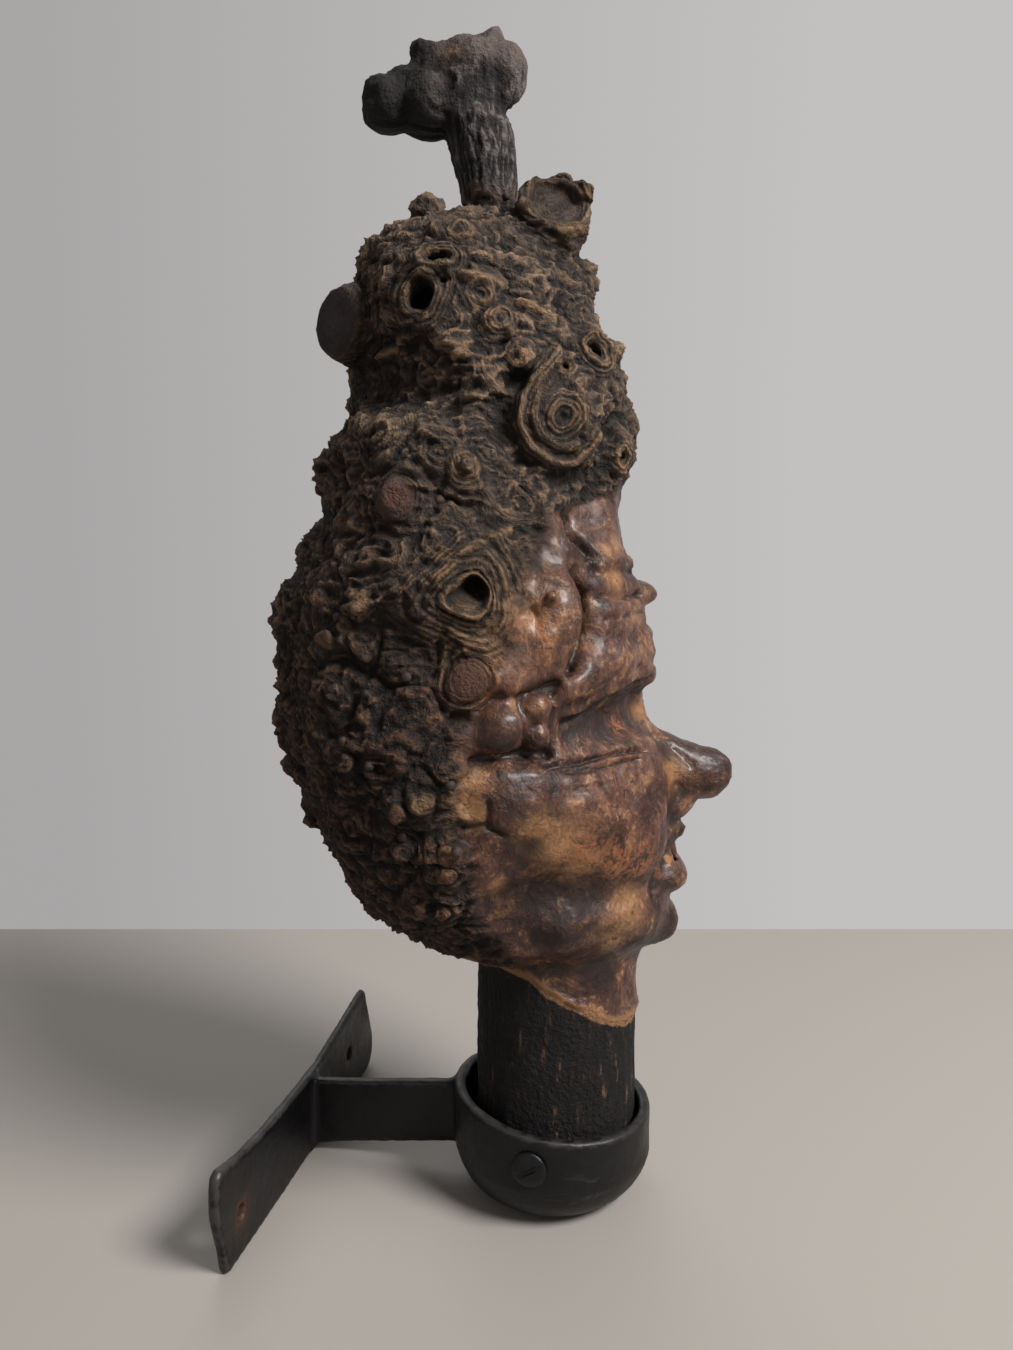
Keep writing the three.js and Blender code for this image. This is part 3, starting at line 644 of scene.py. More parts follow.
eye_centre = wood.skin(*EYE)
for across, height, radius, stand in ROUND_LUMPS:
    base = wood.skin(across, height)
    out = wood.outward(base)
    lump = limb_distance(base - out * radius, base - out * (radius - stand), radius, radius)
    wood.add(lump, base, radius * 3, 1.0)
openings = []
for name, across, height, half, tilt, radius, depth, reach in OPENINGS:
    first, last = slit_ends(across, height, half, tilt)
    out = wood.outward((first + last) / 2) + np.array([0, -1.0, 0])
    openings.append((first, last, out / np.linalg.norm(out), radius, depth, reach))
wood.cut(eye_distance(eye_centre, EYE_OUT), eye_centre, EYE_DEPTH + 6, 1.2)
for first, last, out, radius, depth, reach in openings:
    for mouth in (first, (first + last) / 2, last):
        bore = limb_distance(mouth + out * 2, mouth - out * depth, radius * 1.1, radius * 0.55)
        wood.cut(bore, mouth, depth + radius, 0.8)
# the hole for the screw, and the little gap between the lips
shank_mouth = np.array([RING_OFFSET, 0, SCREW_HEIGHT]) + SCREW_OUT * 27
wood.cut(limb_distance(shank_mouth, shank_mouth - SCREW_OUT * 9, 2.6, 2.6), shank_mouth, 14, 0.5)
lip_gap = limb_distance(LIP_HOLE + LIP_HOLE_WAY, LIP_HOLE - LIP_HOLE_WAY, 2.2, 1.8)
wood.cut(lip_gap, LIP_HOLE, 8, 0.8)
points, quads = wood.faces()
print("grown:", len(points), "points,", len(quads), "faces")

# %% [markdown]
# ## Random numbers that vary smoothly
# Bark is irregular, but not rough at every size alike. Two helpers give its texture: one drifts
# smoothly up and down, the other packs irregular round cells against each other.

# %% Noise
TABLE = 32  # the random table repeats after this many cells
SEED = 11
dice = np.random.default_rng(SEED)
TABLE_VALUES = dice.random((TABLE, TABLE, TABLE)).astype(np.float32)
TABLE_PLACES = dice.random((TABLE, TABLE, TABLE, 3)).astype(np.float32)


def drift(points, size, shift=0.0):
    """Smooth random values from -1 to 1 that change over the given size."""
    place = points / size + shift
    cell = np.floor(place).astype(int)
    part = place - cell
    part = part * part * (3 - 2 * part)
    total = np.zeros(len(points))
    for corner in range(8):
        step = np.array([corner & 1, corner >> 1 & 1, corner >> 2 & 1])
        index = (cell + step) % TABLE
        weight = np.prod(np.where(step, part, 1 - part), axis=1)
        total += weight * TABLE_VALUES[index[:, 0], index[:, 1], index[:, 2]]
    return total * 2 - 1


def drift_aside(points, size, amount, shift=0.0):
    """The points, each moved a little by three drifting values."""
    return points + amount * np.stack([drift(points, size, shift + 7.7 * k) for k in range(3)], axis=1)


def pack(points, size, shift=0.0):
    """For cells packed about as far apart as the size: how far to the cell's centre, how far past
    the edge to the next cell, and a random number that belongs to the cell."""
    place = points / size + shift
    cell = np.floor(place).astype(int)
    near = np.full(len(points), np.inf)
    second = near.copy()
    number = np.zeros(len(points))
    for step in np.ndindex(3, 3, 3):
        index = cell + np.array(step) - 1
        wrapped = index % TABLE
        centre = index + TABLE_PLACES[wrapped[:, 0], wrapped[:, 1], wrapped[:, 2]]
        away = np.sqrt(((place - centre) ** 2).sum(1))
        closer = away < near
        second = np.where(closer, near, np.minimum(second, away))
        number = np.where(closer, TABLE_VALUES[wrapped[:, 0], wrapped[:, 1], wrapped[:, 2]], number)
        near = np.where(closer, away, near)
    return near * size, (second - near) * size, number


def rise_between(low, high, value):
    share = np.clip((value - low) / (high - low), 0, 1)
    return share * share * (3 - 2 * share)


print("noise ready, table of", TABLE_VALUES.size, "values")

# %% [markdown]
# ## From the grid to a fine mesh
# The grid gives faces of its own spacing. One round of subdivision makes them fine enough to
# carry the bark's relief, which is moved along each point's own outward direction.


# %% Mesh
def mesh_of(name, points, faces):
    mesh = bpy.data.meshes.new(name)
    mesh.vertices.add(len(points))
    mesh.vertices.foreach_set("co", np.asarray(points, np.float32).ravel())
    sides = faces.shape[1]
    mesh.loops.add(faces.size)
    mesh.polygons.add(len(faces))
    mesh.loops.foreach_set("vertex_index", faces.astype(np.int32).ravel())
    mesh.polygons.foreach_set("loop_start", np.arange(0, faces.size, sides, dtype=np.int32))
    mesh.update(calc_edges=True)
    mesh.shade_smooth()
    piece = bpy.data.objects.new(name, mesh)
    bpy.context.scene.collection.objects.link(piece)
    return piece


def with_modifier(piece, kind, **settings):
    """The piece with one modifier made real."""
    modifier = piece.modifiers.new(kind.lower(), kind)
    for key, value in settings.items():
        setattr(modifier, key, value)
    depsgraph = bpy.context.evaluated_depsgraph_get()
    result = bpy.data.meshes.new_from_object(piece.evaluated_get(depsgraph))
    piece.modifiers.clear()
    old = piece.data
    piece.data = result
    bpy.data.meshes.remove(old)
    return piece


def vertex_values(mesh, kind):
    """The places ("co") or outward directions ("normal") of a mesh's points."""
    values = np.empty(len(mesh.vertices) * 3, np.float32)
    mesh.vertices.foreach_get(kind, values)
    return values.reshape(-1, 3).astype(float)


def set_places(mesh, places):
    mesh.vertices.foreach_set("co", places.astype(np.float32).ravel())
    mesh.update()


head = mesh_of("burl_wood", points, quads)
with_modifier(head, "SUBSURF", levels=1)
skin = vertex_values(head.data, "co")
normals = vertex_values(head.data, "normal")
print("fine mesh:", len(skin), "points")

# %% [markdown]
# ## Where the bark, the smooth face, the neck and the stem are
# Bark was left on the back and the crown and taken off the face. The edge between them runs down
# the side as one wandering line, given by a few stations. The dark neck begins at a second line,
# and the grey stem above a height. Each point gets a share of each, which fades over a few
# millimetres.

# %% Zones
BARK_EDGE = np.array([  # height, across
    (70, -6), (76.5, -9), (85, -13), (91.7, -17.3), (101.8, -22.5), (112.6, -24.1), (127, -24.6),
    (134, -28.5), (143.7, -25.3), (156, -24.4), (164, -21), (172.2, -16), (184.9, -13),
    (193.9, -8.5), (203, -6.5), (208.7, 0), (214, 12), (216, 18), (223, 23), (227, 60), (360, 60),
], float)
NECK_EDGE = np.array([  # across, height
    (-30, 83), (-24, 82), (-8.7, 76.5), (-4.3, 72), (6, 66.7), (15.6, 60.5), (24.6, 58.3),
], float)
STEM_MIDDLE = -22
CAP_FOOT = 312


def zones(points):
    """Shares of bark, face, neck and stem, and how far below the neck's edge a point lies."""
    wander = 2.6 * drift(points, 6, 3.3) + 1.6 * drift(points, 2.2, 5.1)
    edge = np.interp(points[:, 2], BARK_EDGE[:, 0], BARK_EDGE[:, 1])
    inward = edge - points[:, 0] + wander
    bark = rise_between(-3.0, 4.5, inward)
    neck_line = np.interp(points[:, 0], NECK_EDGE[:, 0], NECK_EDGE[:, 1])
    far_wave = np.where(points[:, 1] > 0, 3 * drift(points, 14, 1.2), 0)
    below = neck_line + far_wave + 0.3 * wander - points[:, 2]
    neck = rise_between(-0.6, 0.6, below)
    stem = rise_between(297, 301, points[:, 2] + 2 * wander)
    stem = stem * (np.hypot(points[:, 0] - STEM_MIDDLE, points[:, 1]) < 13)
    stem = np.maximum(stem, points[:, 2] > CAP_FOOT)
    bark = bark * (1 - neck) * (1 - stem)
    face = (1 - bark) * (1 - neck) * (1 - stem)
    return bark, face, neck, stem, below


bark, face, neck, stem, below = zones(skin)
print("bark", round(float(bark.mean()), 2), "face", round(float(face.mean()), 2))

# %% [markdown]
# ## Bark: knots, the grain flowing round them, and buds
# Each knot claims the wood nearest to it. Ridges run round it like ripples, and where the ripples
# of two knots meet there is a cleft. Knots that were seen are listed; the rest are scattered with
# a fixed seed so that the whole back of the burl is alive too.

# %% Knots on the skin
knot_places = []
for across, height, radius in KNOTS:
    knot_places.append([*wood.skin(across, height), radius])
    if height < 240 and across < -30:
        # a like knot on the far side, a little shifted
        knot_places.append([*wood.skin(across + 4, height + 5, True), radius])
knot_places = np.array(knot_places)
CANDIDATES = 6000
KNOT_GAP = 14
candidates = skin[bark > 0.5]
candidates = candidates[dice.permutation(len(candidates))[:CANDIDATES]]
taken = [row[:3] for row in knot_places]
radii = [row[3] for row in knot_places]
extra = []
for place in candidates:
    gap = np.sqrt(((np.array(taken) - place) ** 2).sum(1)) - np.array(radii)
    if gap.min() > KNOT_GAP:
        size = 1.5 + 2.5 * dice.random(2)[0]  # every knot draws twice, and one draw is spare
        taken.append(place)
        radii.append(size)
        extra.append([*place, size])
knots = np.vstack([knot_places, np.array(extra)])
print(len(knot_places), "known knots and", len(extra), "scattered ones")

# %% [markdown]
# ## The relief of each kind of wood
# Bark is ripples round knots, clefts between them, crags and wrinkles, with buds low down. The
# debarked face only undulates. The neck and the stem are fibrous, so their relief is stretched
# along the wood. Each point takes these by its shares.


# %% Relief
def away_from(points, spot):
    return np.sqrt(((points - spot) ** 2).sum(1))


def from_line(points, first, last):
    """Distance from a straight line between two places."""
    axis = last - first
    along = np.clip((points - first) @ axis / max(axis @ axis, 1e-6), 0, 1)
    return np.sqrt(((points - first - along[:, None] * axis) ** 2).sum(1))


def round_knots(points):
    """Distance from the nearest knot's edge, and how wide the cleft to the next knot is."""
    near = np.full(len(points), np.inf)
    second = near.copy()
    for knot in knots:
        away = away_from(points, knot[:3]) - knot[3]
        second = np.where(away < near, near, np.minimum(second, away))
        near = np.minimum(near, away)
    return near, second - near


def line_distance(points, line):
    """Distance from a line drawn on the skin, given as places across and up."""
    places = [wood.skin(*spot) for spot in line]
    best = np.full(len(points), np.inf)
    for start, end in zip(places[:-1], places[1:]):
        best = np.minimum(best, from_line(points, start, end))
    return best


def line_rise(points, line, radius, rise):
    """A ridge along a line drawn on the skin."""
    return rise * bell(line_distance(points, line), radius)


def lip_rise(points, spot, ring, radius, rise):
    """A broken, wandering rim round a place on the skin."""
    away = away_from(points, wood.skin(*spot)) - ring + 1.1 * drift(points, 4, 12.0)
    rise = rise * np.clip(0.75 + 1.0 * drift(points, 4.5, 6.0), 0.1, 1.2)
    return rise * bell(away, radius)


def ridged(points, size, shift=0.0):
    """Sharp crests and round valleys, from -1 to 1."""
    return 1 - 2 * np.sqrt(np.abs(drift(points, size, shift)))


FLOW = np.array([0.75, 1.0, 1.5])  # the bark's wrinkles run more across than up


def low_share(points, low, high):
    """1 on the lower back of the burl and 0 on the crown, where the bark is older."""
    return 1 - rise_between(low, high, points[:, 2] - 0.5 * (points[:, 0] + 50))


def bark_relief(points):
    """How far the bark stands out, and how far each point is from the nearest knot."""
    loose = drift_aside(points, 9, 2.2)
    loose = drift_aside(loose, 3.4, 1.1, 4.0)
    away, gap = round_knots(loose)
    x, y, z = points.T
    stream = np.stack([away / 2.3, (x + z) / 9, (y - z) / 9], axis=1)
    ripple = ridged(stream, 1.0, 3.0) * np.exp(-np.maximum(away, 0) / 14)
    cleft = bell(gap, 1.6)
    knob = bell(np.maximum(away, -1), 4.5)
    low = low_share(points, 165, 205)
    bud_near, bud_gap, bud_number = pack(loose, 6.4)
    bud = np.sqrt(np.clip(1 - (bud_near / 4.8) ** 2, 0, 1)) * np.maximum(1.9 * bud_number - 0.5, 0)
    bud_cleft = bell(bud_gap, 0.9)
    flow = loose * FLOW
    crag = 0.8 * ridged(flow, 8, 2.0) + 0.8 * ridged(flow, 4.2, 5.0) + 0.6 * ridged(flow, 2.2, 6.0)
    wrinkle = ridged(loose * np.array([0.35, 0.7, 1.9]), 4.4, 8.0)
    wrinkle += 0.6 * ridged(loose * np.array([0.4, 0.8, 1.6]), 2.6, 2.0)
    rough = 1.5 * drift(points, 15, 9.0) + 0.8 * drift(loose, 6, 9.0)
    rise = 0.8 * ripple - 0.7 * cleft + 0.8 * knob + rough
    low_part = 1.0 * bud - 0.3 * bud_cleft + 0.55 * crag + 0.5 * wrinkle
    high_part = 0.25 * bud + 0.62 * crag + 0.72 * wrinkle
    rise += low * low_part + (1 - low) * high_part
    return rise - 0.8, away


rise_bark, away = bark_relief(skin)
undulation = 0.5 * drift(skin, 9, 1.0) + 0.35 * drift(skin, 4.2, 2.0)
undulation += 0.16 * ridged(skin * np.array([0.6, 1, 1.6]), 2.6, 2.0)
angle = np.arctan2(skin[:, 1], skin[:, 0])
fibre = np.stack([angle * 12, np.zeros_like(angle), skin[:, 2] / 9], axis=1)
rise_neck = 0.16 * (1 - 2 * np.abs(drift(fibre, 0.5)))
rise_neck += 0.12 * ridged(skin, 2.4, 3.0)
rise_neck += 0.35 * drift(skin, 9, 4.0)
stem_across = skin[:, 0] - STEM_MIDDLE + (skin[:, 2] - CAP_FOOT) * 0.13
stem_angle = np.arctan2(skin[:, 1], stem_across)
stem_round = stem_angle * 6.5 + 0.5 * drift(skin, 5, 4.0)
stem_fibre = np.stack([stem_round, np.zeros_like(angle), skin[:, 2] / 9], axis=1)
cap = rise_between(319, 324, skin[:, 2])
rise_stem = (1 - cap) * 0.6 * (1 - 2 * np.abs(drift(stem_fibre, 0.55, 2.0)))
cap_lumps = 0.8 * drift(skin, 6, 3.0) + 0.5 * ridged(skin, 4.5, 5.0) + 0.35 * ridged(skin, 2.2, 1.0)
rise_stem += cap * (cap_lumps - 0.6)
rise = bark * rise_bark + face * undulation + neck * rise_neck + stem * rise_stem
print("bark rises", np.percentile(rise_bark, [2, 50, 98]).round(2), "mm")

# %% [markdown]
# ## Rings, rims, folds and sawn faces
# Where a branch was closed over, the wood lies in rings round the place. Every hollow and known
# knot gives its own rings, and at each point the strongest one shows. Ridges and folds that are
# drawn as lines are then added, and the sawn faces and the inside of the hollows are kept plain.

# %% Rings round the openings and the cut ends
RINGED = [  # across, height, radius of the first ring, how far the rings reach, strength
    (-25.3, 165.5, 4.2, 6, 1.0), (-43.6, 211, 4.2, 4, 0.7), (-25.5, 219, 1, 8, 0.7),
    (-27.5, 280, 2, 5, 0.7), (-22.3, 263, 1, 5, 0.7), (-17, 256.6, 1, 5, 0.7),
    (-30.7, 256.8, 1, 4, 0.6), (-62, 260, 9.5, 7, 0.9), (-2.6, 293, 9, 5, 0.9),
    (-37, 135.6, 1, 4, 0.5), (-42, 121.6, 1, 4, 0.5), (-43, 132.6, 1, 4, 0.5),
    (-59.5, 162, 1, 4, 0.5), (-56, 144.5, 1, 4, 0.5), (-32, 222, 1, 6, 0.5), (-20, 223, 1, 6, 0.5),
    (-12, 211, 1, 6, 0.5), (3, 262, 1, 5, 0.5), (-31, 115, 1, 4, 0.5), (-33, 104.5, 1, 4, 0.5),
]
EYE_RINGS = 15.0
RING_STEP = 2.7  # from one coarse ring to the next


def eye_edge(points, blend):
    """How far each point lies outside the eye-like opening."""
    return eye_outline(points[:, 0] - EYE[0], points[:, 2] - EYE[1], blend)


def ring_fields(points):
    """Distance from the nearest ringed feature, and how strongly its rings show."""
    ring = np.where(points[:, 1] < 0, eye_edge(points, 9.0), 99.0)
    share = 1 - rise_between(EYE_RINGS - 7, EYE_RINGS, ring)
    features = []
    for first, last, out, radius, depth, reach in openings:
        features.append((from_line(points, first, last) - radius, reach, 1.0))
    for across, height, radius, reach, strength in RINGED:
        spot = wood.skin(across, height)
        features.append((away_from(points, spot) - radius, reach, strength))
    features.append((line_distance(points, ROPE) - 0.3, 4, 1.0))
    features.append((line_distance(points, ROPE_INNER) - 0.3, 3, 0.9))
    for distance, reach, strength in features:
        here = strength * (1 - rise_between(reach * 0.5, reach, distance))
        stronger = here > share
        ring = np.where(stronger, distance, ring)
        share = np.where(stronger, here, share)
    return ring + 0.45 * drift(points, 5, 8.0) + 0.2 * drift(points, 2, 8.0), share


ring, ring_share = ring_fields(skin)
broken = 0.65 + 0.5 * drift(skin, 4, 6.0)
calm = 1 - 0.4 * ring_share * bark
wave = np.cos(2 * np.pi * (ring - 0.9) / RING_STEP)
rise = rise * np.maximum(calm, 1 - bark) + 0.42 * broken * ring_share * bark * wave
# the eye-like opening lies in a shallow bowl, and the face ends in a thin lip over the neck
rise -= 1.6 * bell(np.maximum(eye_edge(skin, 4.0), 0), 5.0) * (skin[:, 1] < 0)
rise += 0.9 * bell(below + 1.0, 1.0) * (1 - bark)
rope = np.maximum(line_rise(skin, ROPE, 2.8, 1.0), line_rise(skin, ROPE_INNER, 2.0, 1.0))
rise *= 1 - 0.75 * rope
rise += line_rise(skin, ROPE, ROPE_RADIUS, ROPE_RISE) * (0.9 + 0.25 * drift(skin, 3, 1.5))
rise += line_rise(skin, ROPE_INNER, 1.2, 1.3)
rise += line_rise(skin, BROW_RIDGE, 1.3, 1.6)
for crest in CRESTS:
    rise += line_rise(skin, crest, 1.1, 1.6)
for line, half_width, amount in FACE_LINES:
    rise += line_rise(skin, line, half_width, amount)
for across, height, lip, radius, amount in LIPS:
    rise += lip_rise(skin, (across, height), lip, radius, amount)
for first, last, out, radius, depth, reach in openings:
    rim = from_line(skin, first, last) + 0.9 * drift(skin, 4, 12.0) - radius - 1.6
    rise += (0.6 + 1.0 * drift(skin, 5, 14.0)) * bell(rim, 1.2)
# sawn faces stay flat, and the inside of every hollow stays plain
cut = np.zeros(len(skin))
for centre, out, radius in cuts:
    offset = skin - centre
    depth = offset @ out
    aside = np.sqrt(np.maximum((offset**2).sum(1) - depth**2, 0))
    flat = (1 - rise_between(radius - 0.6, radius + 1.4, aside)) * (np.abs(depth) < 2.4)
    cut = np.maximum(cut, flat)
rise *= 1 - 0.93 * cut
for first, last, out, radius, depth, reach in openings:
    middle = (first + last) / 2
    bore = from_line(skin, middle - out, middle - out * depth)
    distance = np.minimum(from_line(skin, first, last), bore)
    rise *= rise_between(0.8 * radius, 1.4 * radius, distance)
in_eye = (eye_edge(skin, 1.6) < 0.6) & ((skin - eye_centre) @ EYE_OUT < 1.0)
in_eye &= (np.abs(skin[:, 0] - EYE[0]) < 9) & (skin[:, 1] < 0)
rise = np.where(in_eye, 0.2 * rise, rise)
rise *= rise_between(NECK_BOTTOM, NECK_BOTTOM + 1.5, skin[:, 2])
skin_out = skin + normals * rise[:, None]
print("relief from", round(float(rise.min()), 2), "to", round(float(rise.max()), 2), "mm")

# %% [markdown]
# ## Putting the relief on, and what the mesh knows about itself
# Every point moves outwards by its rise. The shares and distances are stored on the mesh under
# names, so that the material can read them. Then the mesh is cut down to the budget of one piece,
# more on the plain far side than where the rings are.


# %% Put the relief on
WOOD_FACES = 190000


def give(mesh, name, values):
    attribute = mesh.attributes.new(name, "FLOAT", "POINT")
    attribute.data.foreach_set("value", np.asarray(values, np.float32))


def taken_back(mesh, name):
    values = np.empty(len(mesh.vertices), np.float32)
    mesh.attributes[name].data.foreach_get("value", values)
    return values.astype(float)


set_places(head.data, skin_out)
known = {
    "bark": bark, "neck": neck, "stem": stem, "cut": cut, "away": away, "below": below,
    "ring": ring, "rings": ring_share,
}
for name, values in known.items():
    give(head.data, name, values)
triangles = len(head.data.polygons) * 2
if triangles > WOOD_FACES:
    plain = head.vertex_groups.new(name="plain")
    plain_share = 0.35 + 0.65 * rise_between(-5, 20, skin[:, 1])
    plain_share = np.where(ring_share > 0.3, 0.1, plain_share)
    for level in range(1, 11):
        chosen = np.nonzero(np.round(plain_share * 10) == level)[0]
        plain.add(chosen.tolist(), level / 10, "REPLACE")
    share_kept = WOOD_FACES / triangles
    with_modifier(
        head, "DECIMATE", ratio=share_kept, use_collapse_triangulate=True, vertex_group="plain"
    )
    head.vertex_groups.clear()
print("wood:", len(head.data.polygons), "faces")

# %% [markdown]
# ## How sunk each point lies, and tan, red and dark places
# The clefts are painted darker as shade and the crests paler, so the material needs to know which is
# which.
# The mesh is averaged with its neighbours, and what stands above the average is proud. Then the
# places that are tan, red or dark are marked; some dark ones are painted shade, two tan ones a painted
# highlight.


# %% How sunk each point lies
def smoothed(values, ends, rounds):
    """The values, averaged again and again with their neighbours along the edges."""
    count = len(values)
    share = np.bincount(ends.ravel(), minlength=count).astype(float)
    for _ in range(rounds):
        total = np.bincount(ends[:, 0], values[ends[:, 1]], count)
        total += np.bincount(ends[:, 1], values[ends[:, 0]], count)
        values = 0.5 * values + 0.5 * total / share
    return values


def give_proud(mesh, fine_rounds, broad_rounds):
    """Each point's height over its surroundings, near by and further off, in millimetres."""
    places = vertex_values(mesh, "co")
    out_ways = vertex_values(mesh, "normal")
    ends = np.empty(len(mesh.edges) * 2, np.int32)
    mesh.edges.foreach_get("vertices", ends)
    ends = ends.reshape(-1, 2)
    fine = np.stack([smoothed(places[:, k], ends, fine_rounds) for k in range(3)], axis=1)
    broad = np.stack([smoothed(fine[:, k], ends, broad_rounds) for k in range(3)], axis=1)
    proud = 1.6 * ((places - fine) * out_ways).sum(1) + 0.8 * ((places - broad) * out_ways).sum(1)
    give(mesh, "proud", proud)
    print("proud", np.percentile(proud, [2, 20, 50, 80, 98]).round(2))
    return places


places = give_proud(head.data, 8, 60)


def soft_spots(points, spots):
    """Soft round patches on the skin: the strongest one at each point."""
    share = np.zeros(len(points))
    for across, height, radius in spots:
        share = np.maximum(share, bell(away_from(points, wood.skin(across, height)), radius))
    return share


# tan patches of the wood; the two on the middle of the cheek, at (-1.6, 122) and (4, 116), are a
# painted highlight
TAN_AND_HIGHLIGHT_SPOTS = [  # across, height, radius
    (-28, 174, 5), (-24, 178.5, 4), (-31, 335.5, 2.6), (-11.6, 246.5, 2.8), (1, 284.5, 3),
    (-37, 135.6, 3), (-9.6, 180.5, 4.5), (16.5, 223.5, 1.6), (-20, 171, 4), (-31, 196, 3),
    (-52, 186, 1.8), (-41, 188.5, 1.8), (2, 53, 2.4), (19, 99, 6), (13, 91, 6), (11, 198.6, 2.4),
    (15, 200, 3), (19, 199.3, 2.4), (-26, 133, 5), (-24, 140, 4), (-1.6, 122, 8), (4, 116, 6),
    (-8, 127, 5), (24, 151, 4), (-26, 178, 6), (-20, 176, 5), (33, 134, 5), (14, 190, 4),
]
RED_SPOTS = [  # across, height, radius
    (-65, 185, 2.2), (-52, 182.5, 2), (-47, 185.5, 2), (-43, 188, 2), (-50, 197, 2.4),
    (-59, 206, 2.4), (-31, 115, 2.4), (14, 114.7, 6), (6, 119, 6), (21.5, 112.5, 6),
    (-43.6, 211, 4.5), (16, 148.5, 4), (-25.3, 165.5, 7), (-8.4, 178, 5),
]
tan = soft_spots(places, TAN_AND_HIGHLIGHT_SPOTS)
ridges = [(ROPE, 1.7, 0.9), (ROPE_INNER, 1.1, 0.6), (BROW_RIDGE, 1.3, 0.8)]
for line, radius, strength in ridges + [(crest, 1.2, 1.0) for crest in CRESTS]:
    tan = np.maximum(tan, strength * line_rise(places, line, radius, 1))
for first, last, out, radius, depth, reach in openings:
    lip_tan = bell(from_line(places, first, last) - radius - 1.0, 0.8)
    tan = np.maximum(tan, (0.5 + 0.7 * drift(places, 4, 5.0)) * lip_tan)
for across, height, lip, radius, amount in LIPS:
    tan = np.maximum(tan, 0.55 * lip_rise(places, (across, height), lip, radius, 1))
tan = np.maximum(tan, 0.5 * soft_spots(places, [(-19, 183, 17)]))
# dark spots: painted shade in recesses, under the overhanging lobes and under the jaw, among dark
# patches of the wood
SHADE_AND_DARK_SPOTS = [  # across, height, radius
    (-1, 99.5, 9), (9, 91, 6), (-8, 108, 5), (12, 151.5, 5.5), (2, 152, 5), (5, 181, 3),
    (3, 170, 3), (-8, 163, 3), (-14.5, 174, 3.5), (-11, 148, 2.5), (-4, 154, 2.6), (5, 199, 2.2),
    (10, 121.6, 3), (-10, 122, 3.4), (-16, 110, 3), (26, 158, 4), (30, 140, 3), (-12, 185, 2.6),
    (20, 87, 4), (-24, 148, 3), (36.4, 114.6, 3), (-5, 203, 5), (-7.5, 194, 4), (-12.6, 242.4, 3),
    (13.2, 231.3, 3.4), (-48, 238, 6), (-58, 241, 7), (-55, 246, 8), (-47, 243, 5), (-50, 222, 5),
    (-3, 99.5, 9), (0, 198, 4.5), (-38.5, 293, 6), (-7, 299, 5), (0, 302, 5), (5, 298, 3.5),
    (-10, 293, 4), (4, 102, 7), (-10, 102, 6), (-16, 104, 5),
]
give(head.data, "dark", soft_spots(places, SHADE_AND_DARK_SPOTS))
give(head.data, "tan", tan)
give(head.data, "red", soft_spots(places, RED_SPOTS))
give(head.data, "upper", rise_between(150, 235, places[:, 2] - 0.25 * places[:, 0]))
print("tan on", round(float((tan > 0.5).mean()), 3), "of the points")

# %% [markdown]
# ## Materials
# The colours and finishes are built from noise in the object's own space, steered by what the
# mesh knows about itself: where the bark ends, how sunk a point lies, and how far it is from the
# nearest knot.

# %% Node helpers
def new_node(tree, kind, **settings):
    node = tree.nodes.new(kind)
    for key, value in settings.items():
        setattr(node, key, value)
    return node


class Value:
    """A number, place or colour that nodes work out. It can be added and multiplied as usual."""

    def __init__(self, socket):
        self.socket = socket
        self.tree = socket.id_data

    def __add__(self, other):
        return maths("ADD", self, other)

    def __sub__(self, other):
        return maths("SUBTRACT", self, other)

    def __rsub__(self, other):
        return maths("SUBTRACT", other, self)

    def __mul__(self, other):
        return maths("MULTIPLY", self, other)


def connect(value, socket):
    """Links a worked-out value to a socket, or writes a plain number or colour into it."""
    if isinstance(value, Value):
        socket.id_data.links.new(value.socket, socket)
    elif socket.type == "RGBA":
        socket.default_value = (*value, 1)
    else:
        socket.default_value = value


def maths(operation, a, b=0.0):
    tree = a.tree if isinstance(a, Value) else b.tree
    node = new_node(tree, "ShaderNodeMath", operation=operation)
    connect(a, node.inputs[0])
    connect(b, node.inputs[1])
    return Value(node.outputs[0])


def limited(value):
    """The value, kept from 0 to 1 by the node that works it out."""
    value.socket.node.use_clamp = True
    return value


def larger(a, b):
    return maths("MAXIMUM", a, b)


def blend_colours(share, a, b):
    node = new_node(share.tree, "ShaderNodeMix", data_type="RGBA", clamp_factor=True)
    connect(share, node.inputs["Factor"])
    connect(a, node.inputs["A"])
    connect(b, node.inputs["B"])
    return Value(node.outputs["Result"])


def layered(colour, layers):
    """The colour with others laid over it in turn, each by its own share."""
    for share, over in layers:
        colour = blend_colours(share, colour, over)
    return colour


def from_to(value, low, high, new_low=0.0, new_high=1.0):
    """A smooth step from one new value to another as the value goes from low to high."""
    node = new_node(value.tree, "ShaderNodeMapRange", interpolation_type="SMOOTHSTEP")
    connect(value, node.inputs["Value"])
    connect(low, node.inputs["From Min"])
    connect(high, node.inputs["From Max"])
    connect(new_low, node.inputs["To Min"])
    connect(new_high, node.inputs["To Max"])
    return Value(node.outputs["Result"])


def ramp(value, stops):
    """Colours from a list of places and colours."""
    node = new_node(value.tree, "ShaderNodeValToRGB")
    connect(value, node.inputs["Fac"])
    steps = node.color_ramp.elements
    while len(steps) < len(stops):
        steps.new(0.5)
    for step, (place, colour) in zip(steps, stops):
        step.position = place
        step.color = (*colour, 1)
    return Value(node.outputs["Color"])


def noise(place, scale, detail=3.0, roughness=0.55, distortion=0.0):
    node = new_node(place.tree, "ShaderNodeTexNoise")
    connect(place, node.inputs["Vector"])
    connect(scale, node.inputs["Scale"])
    connect(detail, node.inputs["Detail"])
    connect(roughness, node.inputs["Roughness"])
    connect(distortion, node.inputs["Distortion"])
    return Value(node.outputs["Fac"])


